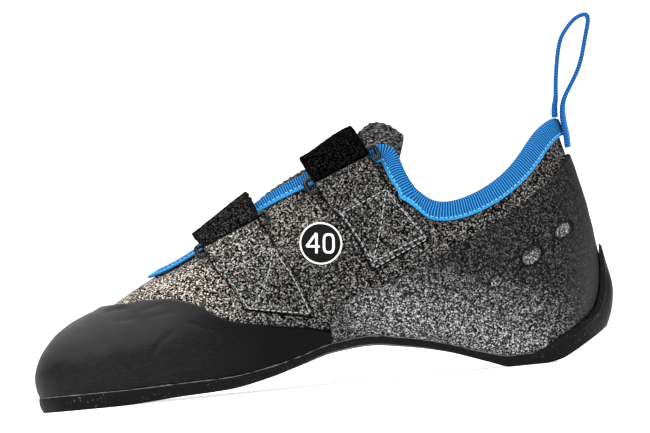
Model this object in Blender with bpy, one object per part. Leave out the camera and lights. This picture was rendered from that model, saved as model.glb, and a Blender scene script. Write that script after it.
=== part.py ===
"""Right-foot climbing shoe with two closure straps, standing empty on its sole.

Metres, +Z up. The toe points to -X and the medial (arch) side faces -Y.
The origin is the middle of the heel's flat spot on the floor.
"""

import math
from collections import namedtuple

import bmesh
import bpy
import numpy as np

# Driving sizes of the last, measured on the outside of the upper
LAST_LENGTH = 0.2434
BALL_WIDTH = 0.086
HEEL_WIDTH = 0.058
INSTEP_HEIGHT = 0.100
HEEL_HEIGHT = 0.1025
HEEL_REST_ALONG = 0.868
INSTEP_LEAN = 26

# Sole
ARCH_LIFT = 0.0150
MEDIAL_LIFT = 0.0015
SOLE_THICKNESS = 0.0050
SOLE_LIP = 0.0004
SIDE_BEVEL = 0.0014
WRAP_THICKNESS = 0.0026
WRAP_RIM = 0.0010
WRAP_EASE = 0.0004
INSOLE_THICKNESS = 0.0020

# Upper and what is glued or sewn on it
WALL = 0.0018
TOE_RAND_THICKNESS = 0.0020
HEEL_RAND_THICKNESS = 0.0016
RAND_RIM = 0.0009
BINDING_THICKNESS = 0.0010
BINDING_HEIGHT = 0.0060
BINDING_EASE = 0.0008
TONGUE_THICKNESS = 0.0022
GAP = 0.0003

# Ribs run from the sole's edge over the belly (widest line) to the collar and throat edge.
# Shares: along of LAST_LENGTH from toe to heel; belly, tuck and edge_in/out of the zone's width;
# up of the zone's height. Slope in degrees is the rib's rise where it meets the edge.
RIB_COLUMNS = (
    "zone along belly_in belly_out belly_up tuck edge_along edge_in edge_out edge_up slope low_pull high_pull"
)
Rib = namedtuple("Rib", RIB_COLUMNS)
RIBS = (
    Rib("fore", 0.000, -0.140, -0.140, 0.130, 0.018, 0.230, -0.035, -0.035, 0.550, 27, 0.34, 0.46),
    Rib("fore", 0.016, -0.280, 0.005, 0.140, 0.021, 0.236, -0.085, 0.010, 0.555, 27, 0.33, 0.44),
    Rib("fore", 0.064, -0.395, 0.200, 0.150, 0.026, 0.264, -0.130, 0.045, 0.582, 28, 0.30, 0.38),
    Rib("fore", 0.166, -0.465, 0.407, 0.170, 0.035, 0.330, -0.170, 0.085, 0.668, 32, 0.27, 0.31),
    Rib("fore", 0.305, -0.490, 0.506, 0.195, 0.041, 0.419, -0.205, 0.130, 0.802, 38, 0.26, 0.27),
    Rib("fore", 0.452, -0.415, 0.465, 0.260, 0.070, 0.517, -0.230, 0.180, 0.909, 46, 0.27, 0.27),
    Rib("fore", 0.585, -0.347, 0.402, 0.338, 0.104, 0.634, -0.265, 0.245, 0.988, 70, 0.30, 0.28),
    Rib("rear", 0.655, -0.487, 0.557, 0.315, 0.147, 0.669, -0.400, 0.385, 0.858, 54, 0.30, 0.28),
    Rib("rear", 0.790, -0.478, 0.516, 0.275, 0.126, 0.731, -0.462, 0.455, 0.699, 82, 0.32, 0.30),
    Rib("rear", 0.925, -0.440, 0.440, 0.275, 0.135, 0.852, -0.405, 0.400, 0.785, 80, 0.32, 0.30),
    Rib("rear", 0.982, -0.215, 0.215, 0.305, 0.165, 0.921, -0.225, 0.225, 0.950, 78, 0.33, 0.30),
    Rib("rear", 1.000, 0.000, 0.000, 0.325, 0.185, 0.952, 0.000, 0.000, 1.000, 77, 0.34, 0.30),
)
V_BELLY = 0.25

# The sole's bottom: lift as a share of ARCH_LIFT, thickness as a share of SOLE_THICKNESS
Ground = namedtuple("Ground", "along lift thickness")
GROUND = (
    Ground(-0.02, 0.00, 1.28),
    Ground(0.13, 0.00, 1.28),
    Ground(0.24, 0.09, 1.10),
    Ground(0.33, 0.15, 1.00),
    Ground(0.40, 0.34, 0.86),
    Ground(0.46, 0.62, 0.66),
    Ground(0.52, 0.90, 0.60),
    Ground(0.585, 1.00, 0.62),
    Ground(0.65, 0.86, 0.62),
    Ground(0.72, 0.60, 0.60),
    Ground(0.79, 0.20, 0.74),
    Ground(0.832, 0.00, 0.92),
    Ground(0.89, 0.00, 0.98),
    Ground(0.92, 0.08, 1.00),
    Ground(0.95, 0.30, 1.00),
    Ground(0.98, 0.58, 1.00),
    Ground(1.02, 0.85, 1.00),
)

# Lines of the side view, seen from the medial side: along of LAST_LENGTH, up of INSTEP_HEIGHT
Point = namedtuple("Point", "along up")
TOE_RAND_EDGE = (
    Point(0.109, 0.411),
    Point(0.133, 0.418),
    Point(0.169, 0.422),
    Point(0.205, 0.431),
    Point(0.240, 0.431),
    Point(0.267, 0.416),
    Point(0.293, 0.392),
    Point(0.318, 0.351),
    Point(0.343, 0.319),
    Point(0.378, 0.298),
    Point(0.413, 0.283),
    Point(0.448, 0.267),
    Point(0.483, 0.255),
    Point(0.509, 0.240),
)
HEEL_RAND_EDGE = (
    Point(0.516, 0.246),
    Point(0.523, 0.284),
    Point(0.539, 0.328),
    Point(0.559, 0.362),
    Point(0.581, 0.383),
    Point(0.605, 0.399),
    Point(0.632, 0.414),
    Point(0.660, 0.442),
    Point(0.707, 0.487),
    Point(0.763, 0.551),
    Point(0.819, 0.616),
    Point(0.876, 0.689),
    Point(0.924, 0.769),
    Point(0.950, 0.830),
    Point(0.965, 0.886),
    Point(0.975, 0.930),
)

# Height of the sole's wrap, as a share of HEEL_HEIGHT, over the count of ribs from the heel's middle
WrapRow = namedtuple("WrapRow", "ribs height")
WRAP = (
    WrapRow(0.00, 0.480),
    WrapRow(0.25, 0.465),
    WrapRow(0.50, 0.405),
    WrapRow(0.75, 0.300),
    WrapRow(1.00, 0.212),
    WrapRow(1.50, 0.150),
    WrapRow(2.00, 0.102),
    WrapRow(2.50, 0.058),
)
JOINT_RIB = 5.45
JOINT_EASE = 0.006
JOINT_RIBS_FROM_HEEL = len(RIBS) - 1 - JOINT_RIB

# Tongue by rib: low and high are v on the upper where its side starts and leaves the wall, inset is
# its way in from the skin, crown its rise over the throat as a share of INSTEP_HEIGHT, lean the
# crown's tilt towards the toe in degrees and strap the straps' rise over the throat's edge
TongueRow = namedtuple("TongueRow", "rib low high inset crown lean strap")
TONGUE = (
    TongueRow(0.90, 0.74, 0.79, 0.0064, 0.000, 26, 0.000),
    TongueRow(1.30, 0.78, 0.83, 0.0064, 0.000, 26, 0.000),
    TongueRow(1.80, 0.81, 0.87, 0.0062, 0.010, 26, 0.010),
    TongueRow(2.50, 0.82, 0.90, 0.0066, 0.036, 26, 0.030),
    TongueRow(3.40, 0.82, 0.92, 0.0066, 0.068, 26, 0.034),
    TongueRow(4.30, 0.82, 0.94, 0.0054, 0.090, 26, 0.030),
    TongueRow(5.00, 0.81, 0.94, 0.0050, 0.098, 26, 0.048),
    TongueRow(5.70, 0.80, 0.94, 0.0050, 0.130, 20, 0.088),
    TongueRow(6.20, 0.82, 0.94, 0.0050, 0.182, 10, 0.100),
    TongueRow(7.00, 0.86, 0.97, 0.0050, 0.205, -12, 0.100),
)
TONGUE_SIDE = -1.0

# Straps: where the ring's line starts and ends in the side view. Rows of STRAP_PATH beyond first_q
# and last_q are left out, and proud is the ring's height over the skin
StrapSpec = namedtuple("StrapSpec", "front_along front_up rear_along rear_up width first_q last_q proud")
FRONT_STRAP = StrapSpec(0.317, 0.604, 0.420, 0.706, 0.027, 2.20, 0.84, 0.0050)
REAR_STRAP = StrapSpec(0.518, 0.849, 0.621, 0.951, 0.027, 2.03, 0.97, 0.0058)
STRAP_THICKNESS = 0.0013

# A strap's way across the throat: q as in over(), rest is the gap under the lower layer and apart
# the gap between the layers, 0 where there is only the lower one
PathRow = namedtuple("PathRow", "q rest apart")
STRAP_PATH = (
    PathRow(2.13, 0.0028, 0.0004),
    PathRow(2.05, 0.0032, 0.0005),
    PathRow(1.96, 0.0034, 0.0010),
    PathRow(1.85, 0.0024, 0.0013),
    PathRow(1.74, 0.0014, 0.0010),
    PathRow(1.62, 0.0012, 0.0006),
    PathRow(1.50, 0.0012, 0.0006),
    PathRow(1.38, 0.0012, 0.0007),
    PathRow(1.26, 0.0014, 0.0011),
    PathRow(1.14, 0.0024, 0.0020),
    PathRow(1.04, 0.0034, 0.0026),
    PathRow(0.95, 0.0030, 0.0029),
    PathRow(0.87, 0.0021, 0.0031),
)
STRAP_LEAN = 0.0020

# The strap's base on the lateral side: down is the way below the ring's line in INSTEP_HEIGHT
BaseRow = namedtuple("BaseRow", "down rest apart")
STRAP_BASE = (
    BaseRow(0.26, 0.0004, 0.0),
    BaseRow(0.19, 0.0004, 0.0),
    BaseRow(0.12, 0.0008, 0.0004),
    BaseRow(0.06, 0.0027, 0.0004),
    BaseRow(0.01, 0.0032, 0.0004),
)
RING_WIRE = 0.0011
RING_ABOVE = 0.0029
RING_BELOW = 0.0031
RING_BESIDE = 0.0034

# Ring tabs: rows from the fold down the side, front and rear edge in the side view
TabRow = namedtuple("TabRow", "front_along front_up rear_along rear_up rest")
FRONT_TAB = (
    TabRow(0.326, 0.549, 0.430, 0.650, 0.0044),
    TabRow(0.331, 0.524, 0.436, 0.622, 0.0022),
    TabRow(0.339, 0.498, 0.450, 0.564, 0.0003),
    TabRow(0.352, 0.455, 0.468, 0.480, 0.0003),
    TabRow(0.363, 0.405, 0.482, 0.390, 0.0003),
    TabRow(0.371, 0.354, 0.494, 0.292, 0.0003),
)
REAR_TAB = (
    TabRow(0.529, 0.790, 0.632, 0.892, 0.0052),
    TabRow(0.536, 0.762, 0.638, 0.866, 0.0026),
    TabRow(0.549, 0.730, 0.648, 0.822, 0.0003),
    TabRow(0.568, 0.655, 0.668, 0.740, 0.0003),
    TabRow(0.585, 0.570, 0.690, 0.655, 0.0004),
    TabRow(0.602, 0.465, 0.710, 0.583, 0.0005),
)
TAB_THICKNESS = 0.0012
TAB_RETURN = 0.0034
TAB_SINK = 0.0009

# Pull loop: centre line of its webbing from the collar's top over the bend to the heel's back,
# hug is how far it bends round the heel, as a share of LOOP_HUG
LoopRow = namedtuple("LoopRow", "along up hug")
LOOP = (
    LoopRow(0.9548, 1.0240, 0.55),
    LoopRow(0.9556, 1.0702, 0.40),
    LoopRow(0.9581, 1.1044, 0.20),
    LoopRow(0.9597, 1.1610, 0.00),
    LoopRow(0.9634, 1.2244, 0.00),
    LoopRow(0.9753, 1.3444, 0.00),
    LoopRow(0.9873, 1.3893, 0.00),
    LoopRow(1.0016, 1.4244, 0.00),
    LoopRow(1.0168, 1.4429, 0.00),
    LoopRow(1.0263, 1.4410, 0.00),
    LoopRow(1.0279, 1.4166, 0.00),
    LoopRow(1.0226, 1.3688, 0.00),
    LoopRow(1.0123, 1.2829, 0.00),
    LoopRow(1.0016, 1.2176, 0.00),
    LoopRow(0.9864, 1.1561, 0.00),
    LoopRow(0.9737, 1.1024, 0.15),
    LoopRow(0.9696, 1.0634, 0.35),
    LoopRow(0.9692, 1.0244, 0.50),
    LoopRow(0.9704, 0.9854, 0.55),
    LoopRow(0.9725, 0.9366, 0.55),
    LoopRow(0.9725, 0.8927, 0.55),
)
LOOP_WIDTH = 0.0140
LOOP_THICKNESS = 0.0017
LOOP_HUG = 0.0024

# Mesh density
STATIONS_PER_RIB = 3
CORNER_RIBS = (6.17, 6.50, 6.83, 7.17, 7.50)
UPPER_UNDER = 5
UPPER_ABOVE = 8
TOE_RAND_ROWS = (3, 6)
HEEL_RAND_ROWS = (4, 4)
WRAP_UNDER = 4
WRAP_ABOVE = 2
SOLE_COLUMNS = 5
INSOLE_COLUMNS = 4
STRAP_COLUMNS = 5
TONGUE_ROWS = 13
TAPE_STEPS = 8
TAPE_SPAN = 0.45
INSOLE_EASE = 0.0004
MERGE_DISTANCE = 0.000001


def monotone(xs, ys, x):
    """Monotone cubic through the points (xs, ys), flat beyond its ends."""
    xs, ys = np.asarray(xs, float), np.asarray(ys, float)
    x = np.clip(np.asarray(x, float), xs[0], xs[-1])
    step, rise = np.diff(xs), np.diff(ys) / np.diff(xs)
    slope = np.zeros(len(xs))
    same = rise[:-1] * rise[1:] > 0
    a, b = rise[:-1][same], rise[1:][same]
    slope[1:-1][same] = 2 * a * b / (a + b)
    slope[0], slope[-1] = rise[0], rise[-1]
    i = np.clip(np.searchsorted(xs, x, side="right") - 1, 0, len(step) - 1)
    h, t = step[i], (x - xs[i]) / step[i]
    return (
        ys[i] * (1 + 2 * t) * (1 - t) ** 2
        + slope[i] * h * t * (1 - t) ** 2
        + ys[i + 1] * t * t * (3 - 2 * t)
        + slope[i + 1] * h * t * t * (t - 1)
    )


def x_at(along):
    return (np.asarray(along) - HEEL_REST_ALONG) * LAST_LENGTH


def along_at(x):
    return np.asarray(x) / LAST_LENGTH + HEEL_REST_ALONG


def column(rows, name):
    return [getattr(row, name) for row in rows]


def arch_share(x):
    """How much of the arch's lift the sole has at x: 0 at the flat spots, 1 under the arch."""
    lifts = [row.lift if row.along < 0.9 else 0.0 for row in GROUND]
    return monotone(column(GROUND, "along"), lifts, along_at(x))


def ground(x, y):
    """Underside of the sole. The medial side, at -Y, rises a little more under the arch."""
    lift = ARCH_LIFT * monotone(column(GROUND, "along"), column(GROUND, "lift"), along_at(x))
    tilt = np.clip(-np.asarray(y) / (BALL_WIDTH / 2), -0.3, 1.0)
    return lift + MEDIAL_LIFT * arch_share(x) * tilt


def sole_top(x, y):
    share = monotone(column(GROUND, "along"), column(GROUND, "thickness"), along_at(x))
    return ground(x, y) + SOLE_THICKNESS * share


class Loop:
    """Closed cubic spline through the rows of a table, one unit of t from row to row."""

    def __init__(self, values):
        self.values = np.asarray(values, float)
        n = len(self.values)
        matrix = 4 * np.eye(n) + np.roll(np.eye(n), 1, 1) + np.roll(np.eye(n), -1, 1)
        around = np.roll(self.values, -1, 0) - np.roll(self.values, 1, 0)
        self.slopes = np.linalg.solve(matrix, 3 * around)

    def __call__(self, t):
        n = len(self.values)
        t = np.asarray(t, float) % n
        i = np.floor(t).astype(int) % n
        f = (t - np.floor(t))[..., None]
        j = (i + 1) % n
        a, b, da, db = self.values[i], self.values[j], self.slopes[i], self.slopes[j]
        return (
            a * (1 + 2 * f) * (1 - f) ** 2
            + da * f * (1 - f) ** 2
            + b * f * f * (3 - 2 * f)
            + db * f * f * (f - 1)
        )


def rib_metres(rib, belly, edge):
    width, height = (BALL_WIDTH, INSTEP_HEIGHT) if rib.zone == "fore" else (HEEL_WIDTH, HEEL_HEIGHT)
    return (
        x_at(rib.along), belly * width, rib.belly_up * height, rib.tuck * width,
        x_at(rib.edge_along), edge * width, rib.edge_up * height,
        math.radians(rib.slope), rib.low_pull, rib.high_pull,
    )


def rib_rows():
    """The ribs in metres, from the toe round the medial side to the heel and back on the lateral side."""
    medial = [rib_metres(rib, rib.belly_in, rib.edge_in) for rib in RIBS]
    lateral = [rib_metres(rib, rib.belly_out, rib.edge_out) for rib in RIBS[-2:0:-1]]
    return medial + lateral


RIB_LOOP = Loop(rib_rows())
RIB_COUNT = len(RIB_LOOP.values)
HEEL_T = len(RIBS) - 1
UP = np.array([0.0, 0.0, 1.0])


def unit(vectors):
    return vectors / np.linalg.norm(vectors, axis=-1, keepdims=True)


def bezier(a, b, c, d, w):
    w = w[..., None]
    return a * (1 - w) ** 3 + 3 * b * w * (1 - w) ** 2 + 3 * c * w * w * (1 - w) + d * w**3


def outward_at(t):
    """Level direction square to the belly line, away from the foot."""
    run = RIB_LOOP(t + 0.02)[..., :2] - RIB_LOOP(t - 0.02)[..., :2]
    return unit(np.stack([run[..., 1], -run[..., 0], np.zeros(np.shape(t))], -1))


def skin(t, v):
    """Outside of the upper. t runs round the shoe, v from 0 at the sole's edge to 1 at the top edge."""
    t, v = np.broadcast_arrays(np.asarray(t, float), np.asarray(v, float))
    row = RIB_LOOP(t)
    outward = outward_at(t)
    belly, edge = row[..., :3], row[..., 4:7]
    tuck, slope, low, high = (row[..., k, None] for k in (3, 7, 8, 9))
    foot = belly - outward * tuck
    foot[..., 2] = sole_top(foot[..., 0], foot[..., 1]) + GAP
    inward = unit((edge - belly) * np.array([1.0, 1.0, 0.0]))
    rise, drop = edge[..., 2:] - belly[..., 2:], belly[..., 2:] - foot[..., 2:]
    reach = np.linalg.norm(edge - belly, axis=-1, keepdims=True)
    lean = inward * np.cos(slope) + UP * np.sin(slope)
    turn_in = foot + outward * 0.52 * tuck + UP * 0.18 * drop
    lower = bezier(foot, turn_in, belly - UP * 0.45 * drop, belly, np.clip(v / V_BELLY, 0, 1))
    share = np.maximum((v - V_BELLY) / (1 - V_BELLY), 0.0)
    upper = bezier(belly, belly + UP * low * rise, edge - lean * high * reach, edge, share)
    return np.where((v < V_BELLY)[..., None], lower, upper)


def skin_frame(t, v):
    """Point of the skin with its outward normal and its direction towards the top edge."""
    t, v = np.broadcast_arrays(np.asarray(t, float), np.asarray(v, float))
    low, high = np.clip(v - 0.01, 0, 1), np.clip(v + 0.01, 0, 1)
    rise = unit(skin(t, high) - skin(t, low))
    normal = unit(np.cross(skin(t + 0.02, v) - skin(t - 0.02, v), rise))
    return skin(t, v), normal, rise


def skin_at(t, v, offset):
    point, normal, _ = skin_frame(t, v)
    return point + normal * np.broadcast_to(offset, np.shape(point)[:-1])[..., None]


def below_edge(ts, depth):
    """(t, v) of the skin at a depth under the top edge, square to it, and the direction down there."""
    t, v, down = ts, np.ones(len(ts)), None
    for _ in range(TAPE_STEPS):
        along_edge, up_rib = skin(t + 0.01, v) - skin(t - 0.01, v), skin(t, v) - skin(t, v - 0.02)
        if down is None:
            rim = skin(t + TAPE_SPAN, 1.0) - skin(t - TAPE_SPAN, 1.0)
            down = unit(np.cross(rim, np.cross(rim, up_rib)))
            down = down * -np.sign(np.einsum("ij,ij->i", down, up_rib))[:, None]
        pairs = ((along_edge, along_edge), (along_edge, up_rib), (up_rib, up_rib), (along_edge, down),
                 (up_rib, down))
        tt, tv, vv, td, vd = (np.einsum("ij,ij->i", a, b) for a, b in pairs)
        step = 0.02 * depth / TAPE_STEPS / (tt * vv - tv * tv)
        t, v = t + step * (vv * td - tv * vd), v + step * (tt * vd - tv * td)
    return t, v, down


V_FINE = np.linspace(0.0, 1.0, 401)


def first_v(ts, offset, above):
    """Lowest v at which the offset skin is above the given surface of (x, y, z)."""
    points = skin_at(np.asarray(ts)[:, None], V_FINE[None, :], np.reshape(offset, (-1, 1)))
    gap = above(points)
    found = np.argmax(gap >= 0, axis=1)
    back = np.maximum(found - 1, 0)
    rows = np.arange(len(gap))
    g0, g1 = gap[rows, back], gap[rows, found]
    share = np.where(found > 0, -g0 / np.where(g1 == g0, 1, g1 - g0), 0.0)
    return V_FINE[back] + share * (V_FINE[found] - V_FINE[back])


def foot_v(ts, offset, clearance=GAP):
    """v at which the offset skin stands clearance above the sole's top."""
    return first_v(ts, offset, lambda p: p[..., 2] - sole_top(p[..., 0], p[..., 1]) - clearance)


def line_v(ts, rows):
    """v at which the skin crosses a line given in the side view by rows of along and up."""
    xs, zs = x_at(column(rows, "along")), np.asarray(column(rows, "up")) * INSTEP_HEIGHT
    return first_v(ts, 0.0, lambda p: p[..., 2] - monotone(xs, zs, p[..., 0]))


def stations(first, last, extra=()):
    """Values of t from first to last, with all whole shares of the ribs and the rands' joints between."""
    shares = [k / STATIONS_PER_RIB for k in range(-HEEL_T * STATIONS_PER_RIB, RIB_COUNT * STATIONS_PER_RIB)]
    shares += [-JOINT_RIB, JOINT_RIB, RIB_COUNT - JOINT_RIB]
    shares = sorted(shares + list(extra) + [RIB_COUNT - t for t in extra])
    inside = [t for t in shares if first + 0.02 < t < last - 0.02]
    return np.array([first] + inside + [last])


def make_piece(name, color, roughness, vertices, faces, metallic=0.0):
    mesh = bpy.data.meshes.new(name)
    mesh.from_pydata([tuple(float(c) for c in p) for p in vertices], [], faces)
    work = bmesh.new()
    work.from_mesh(mesh)
    bmesh.ops.remove_doubles(work, verts=work.verts, dist=MERGE_DISTANCE)
    bmesh.ops.triangulate(work, faces=[f for f in work.faces if len(f.verts) > 3])
    bmesh.ops.recalc_face_normals(work, faces=work.faces)
    work.to_mesh(mesh)
    work.free()
    mesh.shade_smooth()
    material = bpy.data.materials.new(name)
    material.use_nodes = True
    shader = material.node_tree.nodes["Principled BSDF"]
    shader.inputs["Base Color"].default_value = (*color, 1.0)
    shader.inputs["Roughness"].default_value = roughness
    shader.inputs["Metallic"].default_value = metallic
    mesh.materials.append(material)
    piece = bpy.data.objects.new(name, mesh)
    bpy.context.scene.collection.objects.link(piece)
    return piece


def grid_faces(rows, columns, start, closed, flip):
    """Quads of a grid stored row by row. A closed grid joins its last row to its first."""
    faces = []
    for i in range(rows if closed else rows - 1):
        for j in range(columns - 1):
            a, b = start + i * columns + j, start + (i + 1) % rows * columns + j
            quad = (a, b, b + 1, a + 1)
            faces.append(quad[::-1] if flip else quad)
    return faces


def slab(outer, inner, closed=False):
    """Vertices and faces of the solid between two grids with the same rows.

    The grids may have different counts of columns, so the rims are joined row by row at the ends.
    """
    rows, n, m = len(outer), outer.shape[1], inner.shape[1]
    base = rows * n
    vertices = np.concatenate([outer.reshape(-1, 3), inner.reshape(-1, 3)])
    faces = grid_faces(rows, n, 0, closed, False) + grid_faces(rows, m, base, closed, True)
    for i in range(rows if closed else rows - 1):
        k = (i + 1) % rows
        faces.append((i * n, base + i * m, base + k * m, k * n))
        faces.append((i * n + n - 1, k * n + n - 1, base + k * m + m - 1, base + i * m + m - 1))
    if not closed:
        for row in (0, rows - 1):
            rim = [row * n + j for j in range(n)] + [base + row * m + j for j in reversed(range(m))]
            if n == m:
                for j in range(n - 1):
                    faces.append((rim[j], rim[j + 1], rim[-2 - j], rim[-1 - j]))
            else:
                faces.append(tuple(rim))
    return vertices, faces


def split_rows(low, high, under, above):
    """Rows of v from low to high: under steps as far as the belly line and above steps over it."""
    low, high = np.broadcast_arrays(np.reshape(low, (-1, 1)), np.reshape(high, (-1, 1)))
    split = np.minimum(V_BELLY, low + 0.62 * (high - low))
    first = low + (split - low) * np.linspace(0, 1, under + 1)[None, :]
    return np.concatenate([first, split + (high - split) * np.linspace(0, 1, above + 1)[None, 1:]], axis=1)


def band(ts, thickness, v_high, rows):
    """Solid band on the skin from the sole up to v_high, thinner along its top edge."""
    ts = np.asarray(ts)
    v_in = split_rows(foot_v(ts, GAP), v_high, *rows)
    v_out = split_rows(foot_v(ts, GAP + thickness), v_high, *rows)
    fade = (np.arange(v_in.shape[1]) == v_in.shape[1] - 1)[None, :]
    inner = skin_at(ts[:, None], v_in, GAP)
    outer = skin_at(ts[:, None], v_out, GAP + thickness + (RAND_RIM - thickness) * fade)
    return slab(outer, inner)


def upper_solid():
    ts = stations(0, RIB_COUNT)[:-1]
    outer = skin_at(ts[:, None], split_rows(0, 1, UPPER_UNDER, UPPER_ABOVE), 0.0)
    inner = skin_at(ts[:, None], split_rows(0, 1, UPPER_UNDER // 2, UPPER_ABOVE // 2), -WALL)
    return slab(outer, inner, closed=True)


def rand_thickness(ts):
    from_heel = HEEL_T - np.abs((np.asarray(ts) + HEEL_T) % RIB_COUNT - HEEL_T)
    share = np.clip(from_heel - JOINT_RIBS_FROM_HEEL, 0, 1)
    return HEEL_RAND_THICKNESS + (TOE_RAND_THICKNESS - HEEL_RAND_THICKNESS) * share


def rungs(medial, lateral, columns):
    """Rows of points between matching points of the two sides."""
    share = np.linspace(0.0, 1.0, columns)[None, :, None]
    return medial[:, None, :] * (1 - share) + lateral[:, None, :] * share


def on_surface(points, surface):
    out = points.copy()
    out[..., 2] = surface(out[..., 0], out[..., 1])
    return out


def wrap_share(ts):
    from_heel = np.abs(np.asarray(ts) % RIB_COUNT - HEEL_T)
    share = np.clip((WRAP[-1].ribs - from_heel) / 0.5, 0.0, 1.0)
    return share * share * (3 - 2 * share)


def outsole_solid():
    """Sole plate from rung to rung, carried on up the back of the heel as a wrap."""
    ts = stations(0, RIB_COUNT)[:-1]
    outward, share = outward_at(ts), wrap_share(ts)[:, None]
    offset = rand_thickness(ts) + 2 * GAP + WRAP_EASE * share[:, 0]
    low = foot_v(ts, offset, 0.0)
    start = skin_at(ts, low, offset)
    top = on_surface(start + outward * SOLE_LIP * (1 - share), sole_top)
    bottom = on_surface(top - outward * SIDE_BEVEL * (1 - 0.6 * share), ground)

    from_heel = np.abs(ts - HEEL_T)
    height = HEEL_HEIGHT * monotone(column(WRAP, "ribs"), column(WRAP, "height"), from_heel)
    in_wrap = from_heel < WRAP[-1].ribs - 0.01
    high = np.where(
        in_wrap, first_v(ts, offset + WRAP_THICKNESS, lambda p: p[..., 2] - height[:, None]), low
    )
    high = np.maximum(high, low)
    rows = WRAP_UNDER + WRAP_ABOVE + 1
    step = np.linspace(0.0, 1.0, rows)[None, :]
    v = split_rows(low, high, WRAP_UNDER, WRAP_ABOVE)
    thickness = np.linalg.norm(top - bottom, axis=1)[:, None]
    middle = thickness + (WRAP_THICKNESS - thickness) * np.clip(step * 1.3, 0, 1)
    middle = np.where(step > 0.99, WRAP_RIM, middle)
    inner = skin_at(ts[:, None], v, offset[:, None])
    outer = skin_at(ts[:, None], v, offset[:, None] + middle)
    lift = ground(outer[..., 0], outer[..., 1])
    outer[..., 2] = np.maximum(outer[..., 2], np.minimum(lift, inner[..., 2] - WRAP_RIM))
    flat = ~in_wrap
    inner[flat], outer[flat] = top[flat][:, None, :], bottom[flat][:, None, :]
    inner[:, 0], outer[:, 0] = top, bottom

    half = int(np.argmin(np.abs(ts - HEEL_T)))
    pairs = [(k, (-k) % len(ts)) for k in range(half + 1)]
    medial, lateral = [a for a, _ in pairs], [b for _, b in pairs]
    top_plate = on_surface(rungs(top[medial], top[lateral], SOLE_COLUMNS), sole_top)
    bottom_plate = on_surface(rungs(bottom[medial], bottom[lateral], SOLE_COLUMNS), ground)
    blocks = [(outer, True), (inner, True), (top_plate, False), (bottom_plate, False)]
    vertices, faces = [], []
    for grid, closed in blocks:
        faces += grid_faces(len(grid), grid.shape[1], len(vertices), closed, False)
        vertices.extend(grid.reshape(-1, 3))
    count, last = len(ts), rows - 1
    for i in range(count):
        k = (i + 1) % count
        a, b = i * rows + last, k * rows + last
        faces.append((a, b, b + count * rows, a + count * rows))
    return vertices, faces


def insole_solid():
    ts = np.delete(stations(0, HEEL_T), -2)
    inset = WALL + GAP + INSOLE_EASE
    medial = skin(ts, 0.0) - outward_at(ts) * inset
    lateral = skin(-ts, 0.0) - outward_at(-ts) * inset
    grid = rungs(medial, lateral, INSOLE_COLUMNS)
    top = on_surface(grid, lambda x, y: sole_top(x, y) + GAP + INSOLE_THICKNESS)
    bottom = on_surface(grid, lambda x, y: sole_top(x, y) + GAP)
    return slab(top, bottom)


def grid_normals(grid):
    along, across = np.gradient(grid, axis=0), np.gradient(grid, axis=1)
    return unit(np.cross(along, across))


def thick_sheet(grid, thickness, side=0.0):
    """Slab round a sheet of points. side 0 puts the sheet in the middle, -1 all below the normals."""
    normals = grid_normals(grid)
    up, down = thickness * (1 + side) / 2, thickness * (1 - side) / 2
    return slab(grid + normals * up, grid - normals * down)


def leaned(degrees):
    """Direction in the side view, tilted from straight up towards the toe."""
    turn = np.radians(degrees)
    return np.stack([-np.sin(turn), 0 * turn, np.cos(turn)], -1)


INSTEP_UP = leaned(INSTEP_LEAN)


def tongue_grid():
    ts = np.linspace(TONGUE[0].rib, TONGUE[-1].rib, TONGUE_ROWS)
    low, high, inset, crown, lean = (
        monotone(column(TONGUE, "rib"), column(TONGUE, name), ts)[:, None]
        for name in ("low", "high", "inset", "crown", "lean")
    )
    side = np.linspace(0, 1, 4)[None, :]
    v = low + (high - low) * side
    medial = skin_at(ts[:, None], v, -inset)
    lateral = skin_at(-ts[:, None], v, -inset)[:, ::-1]
    b = np.linspace(0, 1, 9)[None, 1:-1, None]
    arch = medial[:, -1:] * (1 - b) + lateral[:, :1] * b
    arch = arch + leaned(lean) * INSTEP_HEIGHT * crown[..., None] * (1 - np.abs(2 * b - 1) ** 2.0)
    return np.concatenate([medial, arch, lateral], axis=1)


def locate(along, up, side=1):
    """(t, v) of points given in the side view, on the medial side or with side -1 on the lateral."""
    x, z = x_at(along), np.asarray(up) * INSTEP_HEIGHT
    tt, vv = np.meshgrid(np.linspace(0.6, HEEL_T - 0.4, 90), np.linspace(0.05, 1.0, 60))
    points = skin(side * tt.ravel(), vv.ravel())
    near = [int(np.argmin((points[:, 0] - a) ** 2 + (points[:, 2] - b) ** 2)) for a, b in zip(x, z)]
    t, v = tt.ravel()[near], vv.ravel()[near]
    for _ in range(12):
        p, pt, pv = skin(side * t, v), skin(side * (t + 0.001), v), skin(side * t, v - 0.001)
        a, c = (pt - p)[:, 0] / 0.001, (pt - p)[:, 2] / 0.001
        b, d = (p - pv)[:, 0] / 0.001, (p - pv)[:, 2] / 0.001
        det = a * d - b * c
        ex, ez = x - p[:, 0], z - p[:, 2]
        t, v = t + 0.7 * (ex * d - ez * b) / det, np.clip(v + 0.7 * (ez * a - ex * c) / det, 0.01, 1.0)
    return side * t, v


def over(t, q):
    """Surface over the instep: up the medial skin (q to 1), across the throat (to 2), down the lateral."""
    t, q = np.broadcast_arrays(np.asarray(t, float), np.asarray(q, float))
    b = np.clip(q - 1, 0, 1)[..., None]
    height = INSTEP_HEIGHT * monotone(column(TONGUE, "rib"), column(TONGUE, "strap"), t)[..., None]
    medial, lateral = skin(t, np.clip(q, 0, 1)), skin(-t, np.clip(3 - q, 0, 1))
    across = medial * (1 - b) + lateral * b
    return across + INSTEP_UP * height * (1 - np.abs(2 * b - 1) ** 2.6)


def over_frame(t, q):
    point = over(t, q)
    ahead = unit(over(t, q + 0.05) - over(t, q - 0.05))
    normal = unit(np.cross(over(t + 0.05, q) - over(t - 0.05, q), ahead))
    return point, normal, ahead


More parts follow.
